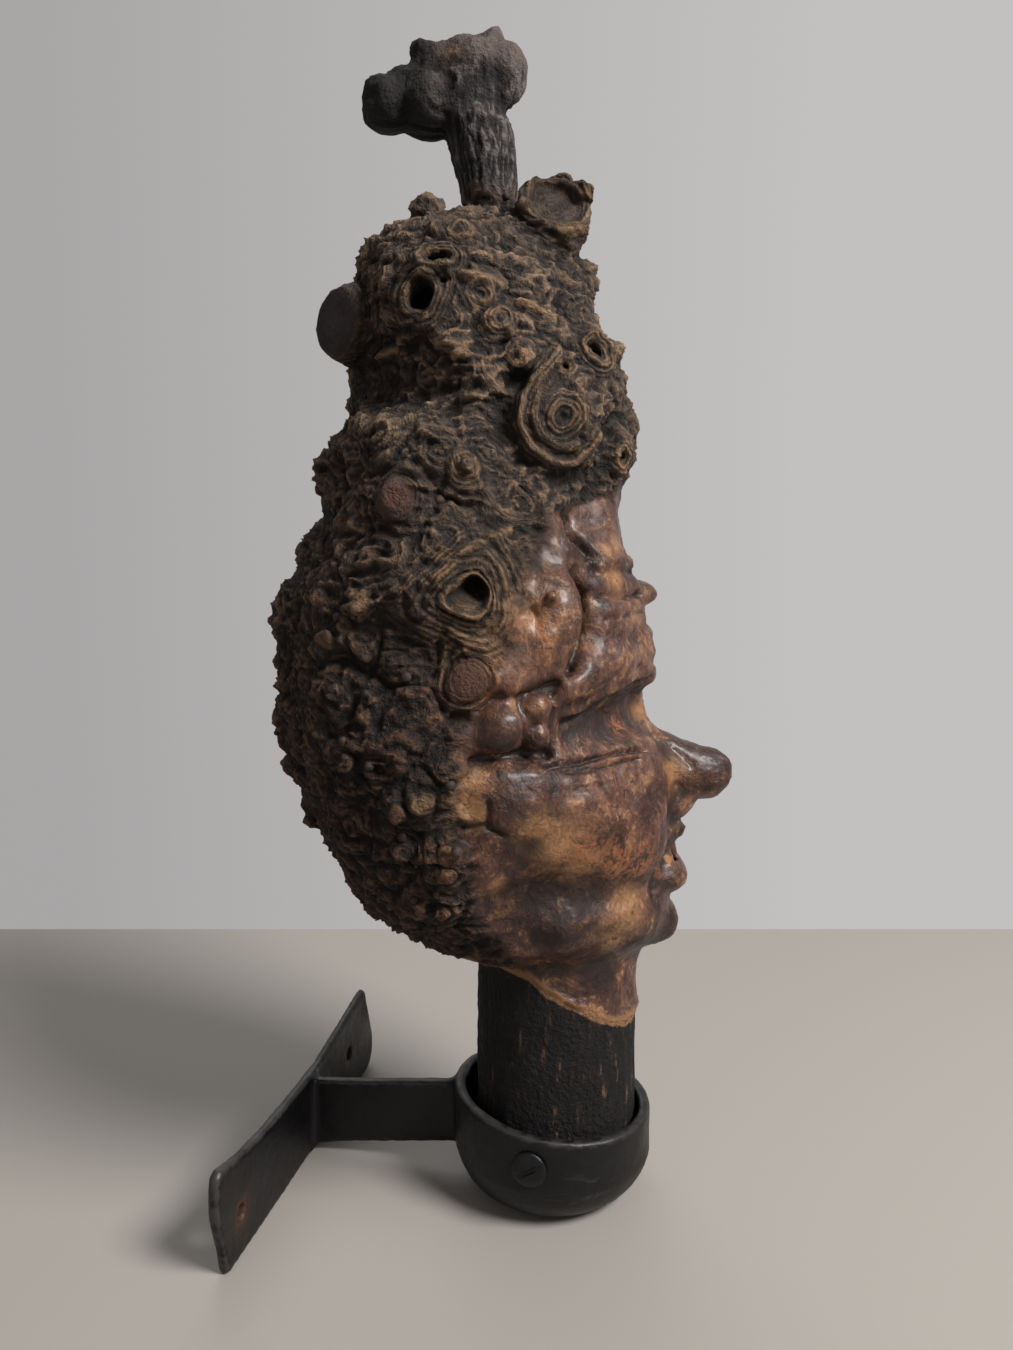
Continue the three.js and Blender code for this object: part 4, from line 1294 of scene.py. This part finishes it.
def stretched(place, scale, turn=(0, 0, 0)):
    node = new_node(place.tree, "ShaderNodeMapping")
    connect(place, node.inputs["Vector"])
    connect(turn, node.inputs["Rotation"])
    connect(scale, node.inputs["Scale"])
    return Value(node.outputs["Vector"])


def parts_of(place):
    """The three parts of a place or a direction."""
    node = new_node(place.tree, "ShaderNodeSeparateXYZ")
    connect(place, node.inputs[0])
    return [Value(socket) for socket in node.outputs]


def object_place(tree):
    return Value(new_node(tree, "ShaderNodeTexCoord").outputs["Object"])


class Finish:
    """A new material, with its shader and what the mesh knows about itself."""

    def __init__(self, name, roughness, specular=0.5):
        self.material = bpy.data.materials.new(name)
        self.material.use_nodes = True
        self.tree = self.material.node_tree
        self.place = object_place(self.tree)
        self.set("Roughness", roughness)
        self.set("Specular IOR Level", specular)

    def read(self, *names):
        """The values given to the mesh under these names."""
        for name in names:
            node = new_node(self.tree, "ShaderNodeAttribute", attribute_name=name)
            yield Value(node.outputs["Fac"])

    def set(self, name, value):
        connect(value, self.tree.nodes["Principled BSDF"].inputs[name])

    def bump(self, height, strength, distance):
        node = new_node(self.tree, "ShaderNodeBump")
        connect(height, node.inputs["Height"])
        connect(strength, node.inputs["Strength"])
        connect(distance, node.inputs["Distance"])
        self.set("Normal", Value(node.outputs["Normal"]))


print("node helpers ready")

# %% [markdown]
# ## Dust
# Old wood and old paint carry dry dust where they look up and in their hollows. All four finishes
# need it, so it is made once as a node group that takes a colour and gives the dusted one.

# %% Dust group
def new_group(name, takes, gives):
    """A node group: its tree, the values that come in, the socket that goes out, and the place."""
    tree = bpy.data.node_groups.new(name, "ShaderNodeTree")
    for side, sockets in (("INPUT", takes), ("OUTPUT", [gives])):
        for socket, kind in sockets:
            tree.interface.new_socket(name=socket, in_out=side, socket_type=kind)
    entry = new_node(tree, "NodeGroupInput")
    leave = new_node(tree, "NodeGroupOutput")
    incoming = [Value(entry.outputs[socket]) for socket, kind in takes]
    return tree, incoming, leave.inputs[gives[0]], object_place(tree)


def use_group(tree, group, values, result):
    node = new_node(tree, "ShaderNodeGroup", node_tree=group)
    for name, value in values.items():
        connect(value, node.inputs[name])
    return Value(node.outputs[result])


def dust_group():
    """Dry dust that lies where a surface looks up and in its hollows."""
    colour_kind = "NodeSocketColor"
    takes = [("Colour", colour_kind), ("Dust Colour", colour_kind), ("Amount", "NodeSocketFloat")]
    tree, (colour, dust, amount), leave, place = new_group("dust", takes, ("Colour", colour_kind))
    upward = parts_of(Value(new_node(tree, "ShaderNodeNewGeometry").outputs["Normal"]))[2]
    lying = from_to(upward, 0.0, 0.9, 0.25, 1.0)
    cloud = from_to(noise(place, 260, 4), 0.42, 0.66)
    connect(blend_colours(limited(lying * cloud * amount), colour, dust), leave)
    return tree


DUST = dust_group()


def dusted(colour, dust_colour, amount):
    values = {"Colour": colour, "Dust Colour": dust_colour, "Amount": amount}
    return use_group(colour.tree, DUST, values, "Colour")


print("dust group has", len(DUST.nodes), "nodes")

# %% [markdown]
# ## Burl wood
# One material covers the whole growth, because the wood is one piece. It works out the colour of
# the bark, the varnished face, the neck, the stem and the sawn faces, and the mesh's own values
# say which of them shows. Shade is painted into the clefts, the sunken places and some dark spots.
# Only the face has a coat of varnish, and less of it at the dark spots.

# %% Burl wood
RING_TURN = 4.654  # radians a millimetre, which is one fine ring every 1.35 mm


def bark_finish(wood_finish, place, proud, dark, cut, bark, strand, grit, patches):
    """Bark is black in its clefts, where shade is painted, brown on its sides, and tan or grey on its
    crests.
    """
    tan, red, upper, ring, rings = wood_finish.read("tan", "red", "upper", "ring", "rings")
    # the clefts, where proud is low, take the darkest colours: painted shade
    lift = proud * 0.3 + 0.3 + (grit - 0.5) * 0.9 + (strand - 0.5) * 1.3
    low_bark = ramp(lift, [
        (0.0, (0.0036, 0.0025, 0.0022)), (0.35, (0.016, 0.009, 0.007)),
        (0.65, (0.048, 0.024, 0.0155)), (1.0, (0.13, 0.062, 0.034)),
    ])
    high_bark = ramp(lift, [
        (0.0, (0.0055, 0.004, 0.0034)), (0.3, (0.034, 0.0225, 0.017)),
        (0.6, (0.092, 0.061, 0.043)), (1.0, (0.24, 0.155, 0.096)),
    ])
    ripple = maths("SINE", ring * RING_TURN)
    ring_share = rings * limited(bark - cut)
    ring_dark = from_to(ripple, 0.3, -0.8) * from_to(strand, 0.3, 0.55, 0.35, 0.85)
    chip = from_to(noise(place, 330, 3, 0.65, 1.2), 0.56, 0.64) * from_to(lift, 0.1, 0.6)
    # the dark spots, partly painted shade, and random darker patches
    shade_and_stain = larger(dark * 0.75, from_to(patches, 0.56, 0.40) * 0.36)
    colour = layered(blend_colours(upper, low_bark, high_bark), [
        (tan * from_to(lift, 0.0, 0.6, 0.1, 0.8), (0.30, 0.17, 0.08)),
        (red * 0.7, (0.11, 0.042, 0.024)),
        (ring_dark * ring_share, (0.008, 0.006, 0.005)),
        (chip * from_to(upper, 0.0, 1.0, 0.35, 0.75), (0.20, 0.115, 0.055)),
        (shade_and_stain, (0.006, 0.0045, 0.004)),
    ])
    return colour, ripple * (ring_share * 0.7), larger(upper * 0.42, tan * 0.5) * bark


def face_finish(wood_finish, proud, shade_and_stain, smudge, mottle, brushed, patches):
    """The smooth face is red-brown wood with ochre clouds and flecks, and painted shade in its sunken
    places.
    """
    tan, red = wood_finish.read("tan", "red")
    cloud = smudge + (mottle - 0.5) * 0.5 + (brushed - 0.5) * 0.55 + (patches - 0.5) * 0.5
    plain = ramp(cloud, [
        (0.24, (0.011, 0.005, 0.0042)), (0.42, (0.038, 0.0145, 0.010)),
        (0.56, (0.084, 0.034, 0.0215)), (0.80, (0.24, 0.115, 0.055)),
    ])
    # painted shade: the face's sunken places are darkened
    sunk = from_to(proud + (smudge - 0.5) * 3.5, 0.2, -1.3)
    fleck = from_to(brushed, 0.55, 0.66) * from_to(smudge, 0.45, 0.6)
    dark_fleck = from_to(brushed, 0.44, 0.34) * from_to(mottle, 0.55, 0.4)
    return layered(plain, [
        (sunk * 0.86, (0.014, 0.007, 0.006)),
        (tan * from_to(brushed, 0.3, 0.58, 0.45, 0.92), (0.30, 0.145, 0.06)),
        (fleck * 0.6, (0.34, 0.19, 0.08)),
        (dark_fleck * 0.75, (0.02, 0.009, 0.007)),
        # the dark spots, partly painted shade in recesses and under the jaw
        (shade_and_stain * 0.85, (0.016, 0.008, 0.006)),
        (red * from_to(brushed, 0.42, 0.58) * 0.9, (0.26, 0.09, 0.03)),
    ])


def burl_material():
    wood_finish = Finish("burl wood", 0.6, 0.34)
    place = wood_finish.place
    x, y, z = parts_of(place)
    proud, bark, neck, stem, cut = wood_finish.read("proud", "bark", "neck", "stem", "cut")
    tan, red, dark, away, below = wood_finish.read("tan", "red", "dark", "away", "below")
    grit = noise(place, 620, 4, 0.65)
    mottle = noise(place, 90, 4, 0.6)
    patches = noise(place, 38, 3, 0.55, 0.8)
    smudge = noise(place, 75, 5, 0.65, 1.4)
    brushed = noise(stretched(place, (0.8, 0.8, 0.65)), 520, 4, 0.7, 0.9)
    flow = new_node(wood_finish.tree, "ShaderNodeCombineXYZ")
    for way, value in enumerate((away * 0.9, (x + z) * 150, (y - z) * 150)):
        connect(value, flow.inputs[way])
    strand = noise(Value(flow.outputs[0]), 1.0, 3, 0.6)
    # the dark spots, partly painted shade, broken up by smudges
    shade_and_stain = dark * from_to(smudge, 0.7, 0.35, 0.65, 1.0)

    bark_colour, ripple_height, dust_amount = bark_finish(
        wood_finish, place, proud, dark, cut, bark, strand, grit, patches
    )
    face_colour = face_finish(wood_finish, proud, shade_and_stain, smudge, mottle, brushed, patches)

    # neck bark: nearly black, with small light flecks that run up and down
    streak = noise(stretched(place, (1, 1, 0.22)), 420, 3, 0.6)
    neck_colour = ramp(streak, [
        (0.3, (0.003, 0.0023, 0.0023)), (0.54, (0.0055, 0.004, 0.0039)),
        (0.64, (0.013, 0.0085, 0.007)), (0.72, (0.11, 0.06, 0.033)),
    ])
    band = from_to(below, 2.6, 1.6) * from_to(below, -2.2, -0.6) * (1.0 - bark)

    # stem: grey and fibrous, pale on its crown, with painted shade in its hollows and on the side away
    # from the light
    fibre = noise(stretched(place, (1, 1, 0.12)), 520, 4, 0.6)
    stem_colour = ramp(proud * 0.3 + fibre, [
        (0.25, (0.004, 0.0034, 0.0036)), (0.5, (0.0125, 0.010, 0.0108)),
        (0.75, (0.036, 0.030, 0.030)), (1.0, (0.12, 0.10, 0.09)),
    ])
    crown = from_to(z + fibre * 0.004, 0.333, 0.338)
    stem_colour = layered(stem_colour, [
        (crown * 0.75, (0.10, 0.074, 0.062)),
        (tan * 0.55, (0.17, 0.085, 0.04)),
        (from_to(x, -0.008, -0.018, 0.0, 0.94), (0.006, 0.005, 0.005)),
    ])

    # sawn faces: dull brown with growth rings, greyer on the sawn branch
    growth_ring = from_to(maths("SINE", away * 3.8 + (mottle - 0.5) * 11.0), -0.6, 0.8)
    cut_colour = blend_colours(growth_ring, (0.020, 0.0125, 0.0105), (0.040, 0.0245, 0.0185))
    cut_colour = layered(cut_colour, [
        (from_to(x, -0.030, -0.036), (0.030, 0.022, 0.023)),
        (red * 0.75, (0.10, 0.042, 0.027)),
    ])

    colour = layered(face_colour, [
        (bark, bark_colour), (neck, neck_colour), (band, (0.24, 0.12, 0.055)),
        (stem, stem_colour), (cut, cut_colour),
    ])
    wood_finish.set("Base Color", dusted(colour, (0.125, 0.093, 0.068), dust_amount))

    smooth = limited(1.0 - larger(larger(bark, neck), stem))
    gloss = maths("POWER", smooth, 3.0) * from_to(mottle, 0.35, 0.6, 0.25, 1.0)
    wood_finish.set("Coat Weight", gloss * limited(1.0 - shade_and_stain) * 0.26)
    wood_finish.set("Coat Roughness", 0.24)
    rough = from_to(smooth, 0.0, 1.0, 0.84, 0.48) + shade_and_stain * 0.25
    wood_finish.set("Roughness", rough + (grit - 0.5) * 0.2)

    coarse_height = grit * from_to(smooth, 0.0, 1.0, 4.2, 0.5)
    coarse_height = coarse_height + (smudge * 2.2 + brushed * 0.9) * smooth
    coarse_height = coarse_height + strand * (bark * 3.2)
    fibre_height = streak * (neck * 1.2) + fibre * (stem * 1.6)
    wood_finish.bump(ripple_height + coarse_height + fibre_height, 0.8, 0.0006)
    return wood_finish.material


head.data.materials.append(burl_material())
print("burl wood has", len(head.data.materials[0].node_tree.nodes), "nodes")

# %% [markdown]
# ## The iron bracket
# The bracket is forged from bar and welded, then painted black. It is grown on the same kind of
# grid, because the soft blend between ring, arm and cross bar gives the weld its fillet, and
# every edge comes out slightly rounded, as a hammer and a brush leave it.

# %% Iron sizes
RING_RADIUS = 30.7
RING_WALL = 3.5
RING_HEIGHT = 29.3
RIM_TILT = 0.108
ARM_TURN = math.radians(169)
ARM_HALF = 2.0
ARM_START = 28.0
ARM_END = 82
PLATE_MIDDLE = 81.95
PLATE_HALF = 1.75
PLATE_HOLES = [(54, 13), (-34, 16)]
HOLE_RADIUS = 2.4


def bend(start, control, end, steps):
    """Points along a simple curve, in one plane."""
    start, control, end = (np.array(value, float) for value in (start, control, end))
    share = np.linspace(0, 1, steps)[:, None]
    return start * (1 - share) ** 2 + 2 * control * share * (1 - share) + end * share**2


# the middle of the ring's wall, from its turned-in foot to above its rim
foot_curve = bend((19, 0), (28.2, 2.6), (30.7, 13), 9)
slopes = np.gradient(foot_curve, axis=0)
slopes /= np.linalg.norm(slopes, axis=1)[:, None]
wall_middle = foot_curve + np.stack([-slopes[:, 1], slopes[:, 0]], axis=1) * RING_WALL / 2
above_rim = (RING_RADIUS - RING_WALL / 2, 40)
wall_middle = np.vstack([wall_middle[0] - 3 * slopes[0], wall_middle, above_rim])
# the cross bar's outline, along its length and up: flat below, waisted above, with lifted tips
plate_outline = np.vstack([
    [(-56, 0), (62.3, 0), (67.5, 19)],
    bend((67.5, 19), (69, 31), (64.5, 32), 5)[1:],
    bend((64.5, 32), (46.7, 26.6), (8, 26.6), 7)[1:],
    bend((-8, 26.6), (-28, 29.6), (-53, 32.6), 7),
    [(-61, 12)],
    bend((-61, 12), (-62, 1.5), (-56, 0), 5)[1:-1],
])
print(len(wall_middle), "wall points,", len(plate_outline), "plate corners")


# %% Iron shapes
def path_distance(u, v, path):
    """Distance from a line of straight pieces in a plane."""
    best = None
    for start, end in zip(path[:-1], path[1:]):
        axis = end - start
        along = np.clip(((u - start[0]) * axis[0] + (v - start[1]) * axis[1]) / (axis @ axis), 0, 1)
        away = np.hypot(u - start[0] - along * axis[0], v - start[1] - along * axis[1])
        best = away if best is None else np.minimum(best, away)
    return best


def inside_outline(u, v, corners):
    inside = np.zeros(np.broadcast(u, v).shape, bool)
    for start, end in zip(corners, np.roll(corners, -1, axis=0)):
        if start[1] == end[1]:
            continue
        crosses = (start[1] > v) != (end[1] > v)
        edge = (end[0] - start[0]) * (v - start[1]) / (end[1] - start[1]) + start[0]
        inside ^= crosses & (u < edge)
    return inside


def meet(sides, blend):
    """The solid inside all the sides, with edges rounded by the blend."""
    value = sides[0]
    for side in sides[1:]:
        value = -soft_add(-value, -side, blend)
    return value


def arm_frame(x, y):
    along = (x - RING_OFFSET) * math.cos(ARM_TURN) + y * math.sin(ARM_TURN)
    aside = -(x - RING_OFFSET) * math.sin(ARM_TURN) + y * math.cos(ARM_TURN)
    return along, aside


def ring_distance(x, y, z):
    radius = np.hypot(x - RING_OFFSET, y)
    rise = np.clip(z / RING_HEIGHT, 0, 1.2)
    level = z + RIM_TILT * (x - RING_OFFSET) * rise * rise
    wall = path_distance(radius, level, wall_middle) - RING_WALL / 2
    return meet([wall, level - RING_HEIGHT, -z + 0 * level], 1.4)


def arm_distance(x, y, z):
    along, aside = arm_frame(x, y)
    low_edge = np.interp(along, [29, 72, 78, 82], [9.1, 4.0, 2.6, 1.0])
    high_edge = np.interp(along, [29, 34, 60, 82], [31, 28.8, 26.4, 24.6])
    level = 0 * z
    return meet([
        np.abs(aside) - ARM_HALF + level, low_edge - z, z - high_edge,
        ARM_START - along + level, along - ARM_END + level,
    ], 1.4)


def plate_distance(x, y, z):
    along, aside = arm_frame(x, y)
    across = aside + 0 * z
    up = z + 0 * aside
    edge = path_distance(across, up, np.vstack([plate_outline, plate_outline[:1]]))
    edge = np.where(inside_outline(across, up, plate_outline), -edge, edge)
    value = meet([np.abs(along - PLATE_MIDDLE) - PLATE_HALF + 0 * z, edge], 1.6)
    for hole_aside, height in PLATE_HOLES:
        hole = np.hypot(aside - hole_aside, z - height) - HOLE_RADIUS
        value = -soft_add(-value, hole, 0.8)
    return value


iron = Growth((-97, -60, -2), (33, 77, 37), 0.75)
x, y, z = iron.everywhere()
iron.values = ring_distance(x, y, z).astype(np.float32)
iron.values = soft_add(iron.values, plate_distance(x, y, z), 1.0)
iron.values = soft_add(iron.values, arm_distance(x, y, z), 3.0)
plate_back = arm_frame(x, y)[0] - PLATE_MIDDLE - PLATE_HALF
iron.values = meet([iron.values, plate_back, -z], 0.8).astype(np.float32)
screw_seat = np.array([RING_OFFSET, 0, SCREW_HEIGHT]) + SCREW_OUT * (RING_RADIUS + 0.3)
screw_hole = limb_distance(
    screw_seat + 4 * SCREW_OUT, screw_seat - 8 * SCREW_OUT, HOLE_RADIUS, HOLE_RADIUS
)
iron.cut(screw_hole, screw_seat, 12, 0.4)
iron_points, iron_quads = iron.faces()
bracket = mesh_of("iron_bracket_forged", iron_points, iron_quads)
print("bracket:", len(iron_quads), "faces, lowest", round(float(iron_points[:, 2].min()), 2))

# %% [markdown]
# ## Hammer marks, rust and rubbed places
# Forging leaves shallow dents. Rust starts in the screw holes and at one tip of the cross bar, and
# the ring is scratched where it faces the light.

# %% Hammered and worn
spots = vertex_values(bracket.data, "co")
ways = vertex_values(bracket.data, "normal")
dents = 0.16 * drift(spots, 9, 4.0) + 0.07 * drift(spots, 3, 6.0)
standing = rise_between(0.2, 1.5, spots[:, 2])
set_places(bracket.data, spots + ways * (dents * standing)[:, None])
spots = give_proud(bracket.data, 5, 14)
along, aside = arm_frame(spots[:, 0], spots[:, 1])
up = spots[:, 2]
on_plate = along > 70
rust = np.zeros(len(spots))
rusty_places = [(hole_aside, height, 4.2, 1.0) for hole_aside, height in PLATE_HOLES]
for place_aside, height, radius, strength in rusty_places + [(-53, 26, 5, 0.7)]:
    near = strength * bell(np.hypot(aside - place_aside, up - height), radius)
    rust = np.maximum(rust, near * on_plate)
round_turn = np.degrees(np.arctan2(spots[:, 1], spots[:, 0] - RING_OFFSET))
from_middle = np.hypot(spots[:, 0] - RING_OFFSET, spots[:, 1])
outside = rise_between(RING_RADIUS - 1.6, RING_RADIUS - 0.6, from_middle)
give(bracket.data, "rust", rust)
give(bracket.data, "marks", bell(round_turn + 76, 17) * bell(up - 11, 8) * outside)
give(bracket.data, "near_tip", rise_between(52, 68, aside) * on_plate)
print("rust on", int((rust > 0.5).sum()), "points of", len(spots))

# %% [markdown]
# ## The screw
# One slotted round-head screw goes through the ring into the neck. Paint has filled part of its
# slot and softened every edge.

# %% Screw
HEAD_RADIUS = 5.4
HEAD_HEIGHT = 2.2
DOME = 9.43  # radius of the dome
SHANK_RADIUS = 2.0
SHANK_LENGTH = 12.0
SLOT_TURN = math.radians(30)


def head_distance(x, y, z):
    dome = np.sqrt(x * x + y * y + (z - HEAD_HEIGHT + DOME) ** 2) - DOME
    head_solid = meet([dome, np.hypot(x, y) - HEAD_RADIUS + 0 * z, -0.1 - z + 0 * (x + y)], 0.6)
    across = x * math.sin(SLOT_TURN) - y * math.cos(SLOT_TURN)
    slot_solid = meet([np.abs(across) - 0.6 + 0 * z, 1.25 - z + 0 * across], 0.3)
    head_solid = soft_cut(head_solid, slot_solid, 0.5)
    shank_side = np.hypot(x, y) - SHANK_RADIUS + 0.5 * np.clip((-z - 9) / 3, 0, 1)
    shank = meet([shank_side, -SHANK_LENGTH - z, z - 0.8], 0.4)
    return soft_add(head_solid, shank, 0.4)


metal = Growth((-6.4, -6.4, -13), (6.4, 6.4, 3.4), 0.25)
x, y, z = metal.everywhere()
metal.values = head_distance(x, y, z).astype(np.float32)
screw_points, screw_quads = metal.faces()
screw_points[:, 2] += 0.05 * drift(screw_points, 2.5, 1.0) * (screw_points[:, 2] > 0.5)
screw_side = np.array([-SCREW_OUT[1], SCREW_OUT[0], 0])
screw_places = screw_seat + screw_points @ np.stack([screw_side, [0, 0, 1], SCREW_OUT])
screw = mesh_of("neck_screw_painted", screw_places, screw_quads)
screw_places = give_proud(screw.data, 4, 20)
for name in ("rust", "marks", "near_tip"):
    give(screw.data, name, np.zeros(len(screw_places)))
print("screw:", len(screw_quads), "faces")

# %% [markdown]
# ## Black paint on iron
# Paint on forged iron is thin on every edge and rubs off there first. The bracket and the screw
# share one group that finds the edges, and one function that makes the paint, because they were
# painted together. The plate's holes have begun to rust.

# %% Worn edges, a group for both iron pieces
def wear_group():
    kind = "NodeSocketFloat"
    takes = [("Proud", kind), ("Amount", kind)]
    tree, (proud, amount), leave, place = new_group("edge wear", takes, ("Worn", kind))
    edge = proud + (noise(place, 260, 4, 0.7) - 0.5) * 1.1
    connect(limited(from_to(edge, 0.32, 0.75) * amount), leave)
    return tree


WEAR = wear_group()
print("edge wear has", len(WEAR.nodes), "nodes")


# %% Black paint on iron
def iron_material(name, rust_colour, wear_amount):
    paint = Finish(name, 0.45, 0.28)
    proud, rust, marks, near_tip = paint.read("proud", "rust", "marks", "near_tip")
    fine = noise(paint.place, 700, 4, 0.6)
    broad = noise(paint.place, 60, 4, 0.6)
    amount = near_tip * 0.5 + wear_amount
    worn = use_group(paint.tree, WEAR, {"Proud": proud, "Amount": amount}, "Worn")
    rusty = limited(rust * from_to(fine, 0.35, 0.6, 0.4, 1.0))
    slanted = stretched(paint.place, (0.08, 1, 1), (0, math.radians(42), 0))
    scratch = from_to(noise(slanted, 520, 2, 0.5), 0.56, 0.62) * marks
    black = blend_colours(
        from_to(broad, 0.35, 0.65), (0.0032, 0.0029, 0.0035), (0.0065, 0.0058, 0.0064)
    )
    colour = layered(black, [
        (from_to(broad, 0.5, 0.72) * 0.5, (0.009, 0.0055, 0.0045)),
        (worn, (0.06, 0.055, 0.053)),
        (rusty, rust_colour),
        (scratch * 0.5, (0.035, 0.033, 0.035)),
    ])
    sunk_dust = from_to(proud, 0.1, -0.6) * 0.3
    paint.set("Base Color", dusted(colour, (0.03, 0.028, 0.026), sunk_dust))
    paint.set("Metallic", worn * 0.6)
    rough = from_to(broad, 0.3, 0.7, 0.36, 0.52) + rusty * 0.35
    paint.set("Roughness", limited(rough + (fine - 0.5) * 0.25))
    height = fine * 0.35 + broad * 0.8 - scratch * 0.5 + rusty * 0.4
    paint.bump(height, 0.7, 0.0004)
    return paint.material


bracket.data.materials.append(iron_material("black painted iron", (0.085, 0.035, 0.016), 0.55))
screw.data.materials.append(iron_material("black painted screw", (0.06, 0.03, 0.02), 0.4))
print("materials", [item.name for item in bpy.data.materials])

# %% [markdown]
# ## Buds on the bark
# The lower bark carries many small round buds. They repeat, so Geometry Nodes scatters them over
# a copy of the bark: one bud shape, turned to the skin, in many sizes, from one fixed seed.

# %% Buds
BUD_SETTINGS = [  # name, kind of socket, value
    ("Spacing", "NodeSocketFloat", 0.0080), ("Density", "NodeSocketFloat", 24000.0),
    ("Seed", "NodeSocketInt", 7), ("Smallest", "NodeSocketFloat", 0.0006),
    ("Largest", "NodeSocketFloat", 0.0016),
]


def number_socket(sockets, name=None):
    """The first socket that carries a single number, of a node that offers several kinds."""
    return [item for item in sockets if item.type == "VALUE" and name in (None, item.name)][0]


def buds_tree(material):
    tree = bpy.data.node_groups.new("scatter buds", "GeometryNodeTree")
    sides = tree.interface
    sides.new_socket("Geometry", in_out="INPUT", socket_type="NodeSocketGeometry")
    for name, kind, value in BUD_SETTINGS:
        sides.new_socket(name, in_out="INPUT", socket_type=kind).default_value = value
    sides.new_socket("Geometry", in_out="OUTPUT", socket_type="NodeSocketGeometry")
    entry = new_node(tree, "NodeGroupInput").outputs
    leave = new_node(tree, "NodeGroupOutput")
    scatter = new_node(tree, "GeometryNodeDistributePointsOnFaces", distribute_method="POISSON")
    share = new_node(tree, "GeometryNodeInputNamedAttribute", data_type="FLOAT")
    share.inputs["Name"].default_value = "bud_share"
    bud = new_node(tree, "GeometryNodeMeshIcoSphere")
    bud.inputs["Subdivisions"].default_value = 2
    bud.inputs["Radius"].default_value = 1.0
    sizes = new_node(tree, "FunctionNodeRandomValue", data_type="FLOAT")
    place = new_node(tree, "GeometryNodeInstanceOnPoints")
    real = new_node(tree, "GeometryNodeRealizeInstances")
    shade = new_node(tree, "GeometryNodeSetShadeSmooth")
    coat = new_node(tree, "GeometryNodeSetMaterial")
    coat.inputs["Material"].default_value = material
    for source, target in (
        (entry["Geometry"], scatter.inputs["Mesh"]),
        (entry["Spacing"], scatter.inputs["Distance Min"]),
        (entry["Density"], scatter.inputs["Density Max"]),
        (share.outputs["Attribute"], scatter.inputs["Density Factor"]),
        (entry["Seed"], scatter.inputs["Seed"]),
        (entry["Seed"], sizes.inputs["Seed"]),
        (entry["Smallest"], number_socket(sizes.inputs, "Min")),
        (entry["Largest"], number_socket(sizes.inputs, "Max")),
        (scatter.outputs["Points"], place.inputs["Points"]),
        (scatter.outputs["Rotation"], place.inputs["Rotation"]),
        (bud.outputs["Mesh"], place.inputs["Instance"]),
        (number_socket(sizes.outputs), place.inputs["Scale"]),
        (place.outputs["Instances"], real.inputs["Geometry"]),
        (real.outputs["Geometry"], shade.inputs["Geometry"]),
        (shade.outputs["Geometry"], coat.inputs["Geometry"]),
        (coat.outputs["Geometry"], leave.inputs["Geometry"]),
    ):
        tree.links.new(source, target)
    return tree


def bud_material():
    finish = Finish("burl bud", 0.75)
    grain = noise(finish.place, 800, 3, 0.6)
    colour = ramp(noise(finish.place, 70, 3, 0.5), [
        (0.3, (0.010, 0.0055, 0.0045)), (0.52, (0.026, 0.013, 0.009)), (0.75, (0.09, 0.042, 0.023)),
    ])
    colour = blend_colours(from_to(grain, 0.5, 0.35), colour, (0.006, 0.004, 0.003))
    finish.set("Base Color", dusted(colour, (0.09, 0.062, 0.045), 0.2))
    finish.bump(grain, 0.6, 0.0003)
    return finish.material


to_frame = Matrix.Translation(NECK_AXIS) @ Matrix.Scale(0.001, 4)
for piece in (head, bracket, screw):
    piece.data.transform(to_frame)
buds = bpy.data.objects.new("burl_buds", head.data.copy())
bpy.context.scene.collection.objects.link(buds)
low_there = low_share(places, 140, 200)
bud_share = np.where(taken_back(buds.data, "bark") > 0.9, 0.12 + 0.88 * low_there, 0)
give(buds.data, "bud_share", bud_share * (taken_back(buds.data, "rings") < 0.2))
bud_wood = bud_material()
scatter = buds.modifiers.new("scatter", "NODES")
scatter.node_group = buds_tree(bud_wood)
for item in scatter.node_group.interface.items_tree:
    for name, kind, value in BUD_SETTINGS:
        if item.name == name:
            scatter[item.identifier] = value
bud_mesh = bpy.data.meshes.new_from_object(
    buds.evaluated_get(bpy.context.evaluated_depsgraph_get())
)
buds.modifiers.clear()
buds.data = bud_mesh
bud_mesh.materials.clear()
bud_mesh.materials.append(bud_wood)
bud_mesh.polygons.foreach_set("material_index", np.zeros(len(bud_mesh.polygons), np.int32))
print("buds:", len(bud_mesh.polygons), "faces")

# %% [markdown]
# ## Into the frame
# Each grown piece rides the one body and takes its CAD node's place, and the CAD node is hidden.
# The buds belong to the wood and stand for no node of their own.

# %% Into the frame
for piece, slot, node in (
    (head, "burl_wood", "burl_head"),
    (bracket, "black_iron", "iron_bracket"),
    (screw, "painted_screw", "neck_screw"),
):
    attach(piece, "root")
    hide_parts(node)
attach(buds, "root")
print("in the frame:", [piece.name for piece in (head, bracket, screw, buds)])
